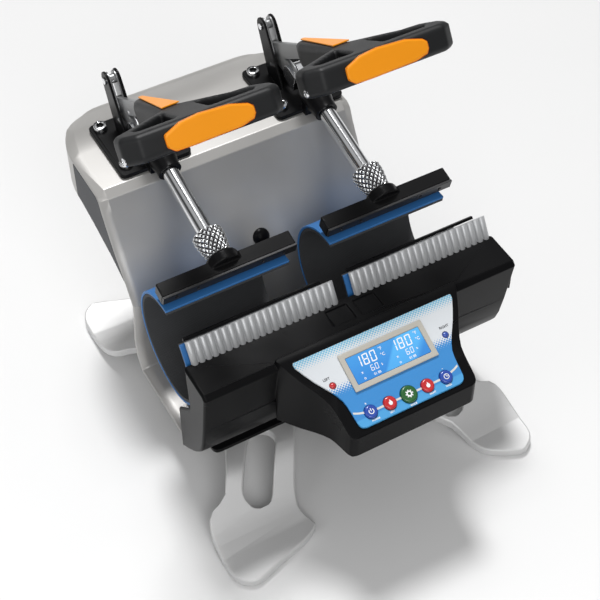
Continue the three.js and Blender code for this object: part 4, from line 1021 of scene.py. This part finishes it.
# Name, text, size, X and Y on the label
displayTexts = [
    ("display_unit_left_a", "°F", 3.6, -3.8, -20.4), ("display_unit_left_b", "°C", 3.6, -3.8, -25.6),
    ("display_second_left", "s", 3.6, -8.2, -32.4), ("display_mark_left", "x", 3.4, -26.5, -32.4),
    ("display_count_left", "01 88", 2.8, -15.0, -37.6), ("display_dot_left", "o", 3.4, -26.5, -37.4),
    ("display_unit_right_a", "°F", 3.6, 29.2, -20.4), ("display_unit_right_b", "°C", 3.6, 29.2, -25.6),
    ("display_second_right", "s", 3.6, 24.8, -32.4), ("display_mark_right", "x", 3.4, 6.5, -32.4),
    ("display_count_right", "01 88", 2.8, 18.0, -37.6), ("display_dot_right", "o", 3.4, 6.5, -37.4),
]
# Name, digits, height, width, X and Y on the label
displayNumbers = [
    ("display_heat_left", "180", 9.2, 5.0, -28.5, -28.0), ("display_time_left", "60", 5.0, 2.9, -18.6, -34.6),
    ("display_heat_right", "180", 9.2, 5.0, 4.5, -28.0), ("display_time_right", "60", 5.0, 2.9, 14.4, -34.6),
]
# Name, text, size, X and Y on the label, finish
labelTexts = [
    ("label_left", "LEFT", 3.0, -55.5, -25.5, "blackPrint"),
    ("label_right", "RIGHT", 3.0, 55, -25.5, "blackPrint"),
    ("caption_mode", "MODE", 2.1, 0, -72.4, "whitePrint"),
    ("caption_left", "LEFT", 2.1, -19, -70.6, "whitePrint"),
    ("caption_right", "RIGHT", 2.1, 19, -70.6, "whitePrint"),
    ("caption_power", "POWER", 2.1, -34, -70.6, "whitePrint"),
    ("caption_timer", "TIMER", 2.1, 34, -70.6, "whitePrint"),
    ("caption_plus", "+", 3.4, -36, -56.0, "whitePrint"),
    ("caption_minus", "-", 3.4, 36, -56.0, "whitePrint"),
]
segmentBars = {"0": "abcdef", "1": "bc", "6": "acdefg", "8": "abcdefg"}


# Seven segment digits, slightly slanted
numberLook = {
    "thickShare": 0.105, "gapShare": 0.03, "slant": 0.12, "spacingShare": 1.38, "below": 0.1, "above": 0.08,
}


def numberMesh(text, height, width, x, y):
    look = numberLook
    thick, gap = height * look["thickShare"], height * look["gapShare"]
    half, inner = height / 2, width - thick
    bars = {
        "a": (thick, height - thick, inner, height),
        "b": (inner, half + gap, width, height - gap),
        "c": (inner, gap, width, half - gap),
        "d": (thick, 0, inner, thick),
        "e": (0, gap, thick, half - gap),
        "f": (0, half + gap, thick, height - gap),
        "g": (thick, half - thick / 2, inner, half + thick / 2),
    }
    outlines = []
    for index, digit in enumerate(text):
        start = x + index * width * look["spacingShare"]
        for segment in segmentBars[digit]:
            outline = barOutline(*bars[segment])
            outlines.append([(start + a + look["slant"] * b, y + b) for a, b in outline])
    return outlines


# Line through the keys, which rises towards both ends; each point is (outward, upward)
lineLook = {"half": 0.85, "low": 1.7, "points": [(30, 0), (39, 1.2), (45, 2.9), (49, 4.6)]}


def keyLine():
    row, half, points = keyLook["row"], lineLook["half"], lineLook["points"]
    middle = [(-out, row + up) for out, up in points[::-1]] + [(out, row + up) for out, up in points]
    parts = []
    for (x0, y0), (x1, y1) in zip(middle, middle[1:]):
        parts.append([(x0, y0 - half), (x1, y1 - half), (x1, y1 + half), (x0, y0 + half)])
    return parts


consoleEdges = {"label_panel": 0.2, "display_frame": 0.7, "display_glass": 0.1}
lampLooks = {"left": "redKey", "right": "blueKey"}


def buildConsole():
    for node, edge in consoleEdges.items():
        softCopy(node, edge, place=labelFrame)
    for side, look in lampLooks.items():
        softCopy("lamp_" + side, 0, angle=60, place=labelFrame, look=look)
    buildKeys()
    line = flatMesh(keyLine(), lineLook["low"], printLook["level"])
    dress(finishMesh(line, "key_line"), "label_panel", "linePrint", None, labelFrame)
    for name, text, size, x, y, look in labelTexts:
        printText(name, text, size, x, y, printLook["level"], look, "label_panel", printLook["weight"])
    intoLabel = labelFrame.inverted()
    glassTop = max((intoLabel @ vertex.co).z for vertex in nodes["display_glass"].data.vertices) * 1000
    level = glassTop + printLook["glassGap"]
    for name, text, size, x, y in displayTexts:
        printText(name, text, size, x, y, level, "whitePrint", "display_glass", printLook["glassWeight"])
    for name, text, height, width, x, y in displayNumbers:
        low, high = glassTop - numberLook["below"], glassTop + numberLook["above"]
        piece = finishMesh(flatMesh(numberMesh(text, height, width, x, y), low, high), name)
        dress(piece, "display_glass", "whitePrint", None, labelFrame)
    print("stage: console, glass top", round(glassTop, 2))


buildConsole()


# Camera, floor and light
def lookAt(piece, target):
    piece.rotation_euler = (target - piece.location).to_track_quat("-Z", "Y").to_euler()


# The photograph's own view, found by fitting; the turn is in degrees
cameraLook = {
    "lens": 84.786, "sensor": 36, "far": 30, "place": (-402.2, -545.1, 1046.6), "turn": (41.3, 0, -29.6),
}


def buildCamera():
    look = cameraLook
    data = bpy.data.cameras.new("camera")
    data.lens = look["lens"]
    data.sensor_width = look["sensor"]
    data.clip_end = look["far"]
    camera = bpy.data.objects.new("camera", data)
    camera.location = at(*look["place"])
    camera.rotation_euler = [math.radians(angle) for angle in look["turn"]]
    bpy.context.scene.collection.objects.link(camera)
    bpy.context.scene.camera = camera


floorLook = {
    "size": 6.0, "steps": 6, "color": (0.76, 0.76, 0.76), "roughness": 0.6, "colorDrift": 0.01,
    "edgeWear": 0.0, "dust": 0.0, "bump": 0.02,
}


def buildFloor():
    material, graph, surface = newMaterial("floorPaint")
    addFinish(graph, surface, floorLook)
    built = bmesh.new()
    steps = floorLook["steps"]
    lines = [floorLook["size"] * (step / steps - 0.5) for step in range(steps + 1)]
    grid = [[built.verts.new((x, y, 0)) for x in lines] for y in lines]
    for below, above in zip(grid, grid[1:]):
        for column in range(steps):
            built.faces.new((below[column], below[column + 1], above[column + 1], above[column]))
    floor = finishMesh(built, "studio_floor")
    floor.data.materials.append(material)


# The key's size is the sun's angle in radians; the others' is in metres, like the places
lights = {
    "key": {"kind": "SUN", "location": (0.25, 0.85, 2.0), "size": 0.2, "energy": 2.0},
    "back": {"kind": "AREA", "location": (0.3, 0.9, 2.0), "size": 0.5, "energy": 8},
    "side": {"kind": "AREA", "location": (-1.7, -0.5, 1.0), "size": 0.9, "energy": 4},
    "fill": {"kind": "AREA", "location": (-0.5, -1.7, 1.5), "size": 1.2, "energy": 18},
}
lightAim = (0, 0, 0.12)


def buildLights():
    for name, look in lights.items():
        data = bpy.data.lights.new(name, look["kind"])
        setattr(data, "angle" if look["kind"] == "SUN" else "size", look["size"])
        data.energy = look["energy"]
        light = bpy.data.objects.new(name, data)
        light.location = look["location"]
        bpy.context.scene.collection.objects.link(light)
        lookAt(light, Vector(lightAim))


# Room light: pale walls, a dark band above them and a white top; the camera sees a plain backdrop
roomLook = {
    "wall": (0.75, 0.75, 0.75), "band": (0.12, 0.12, 0.12), "top": (1, 1, 1), "strength": 0.42,
    "backdrop": (0.88, 0.88, 0.88), "wallBand": (0.12, 0.3), "topBand": (0.5, 0.75),
}


def buildRoom():
    world = bpy.data.worlds.new("studioWorld")
    world.use_nodes = True
    graph = Graph(world.node_tree)
    split = graph.add("ShaderNodeSeparateXYZ")
    graph.put(split.inputs[0], graph.add("ShaderNodeTexCoord").outputs["Generated"])
    low = graph.ramp(split.outputs["Z"], *roomLook["wallBand"])
    high = graph.ramp(split.outputs["Z"], *roomLook["topBand"])
    shade = graph.mix(low, roomLook["wall"], roomLook["band"])
    background = graph.add("ShaderNodeBackground")
    graph.put(background.inputs["Color"], graph.mix(high, shade, roomLook["top"]))
    graph.put(background.inputs["Strength"], roomLook["strength"])
    backdrop = graph.add("ShaderNodeBackground")
    graph.put(backdrop.inputs["Color"], roomLook["backdrop"])
    seen = graph.add("ShaderNodeMixShader")
    graph.put(seen.inputs[0], graph.add("ShaderNodeLightPath").outputs["Is Camera Ray"])
    graph.put(seen.inputs[1], background.outputs[0])
    graph.put(seen.inputs[2], backdrop.outputs[0])
    graph.put(graph.add("ShaderNodeOutputWorld").inputs["Surface"], seen.outputs[0])
    bpy.context.scene.world = world
    bpy.context.scene.view_settings.view_transform = "Standard"


buildCamera()
buildFloor()
buildLights()
buildRoom()
print("stage: camera, floor and light")

bpy.context.view_layer.update()
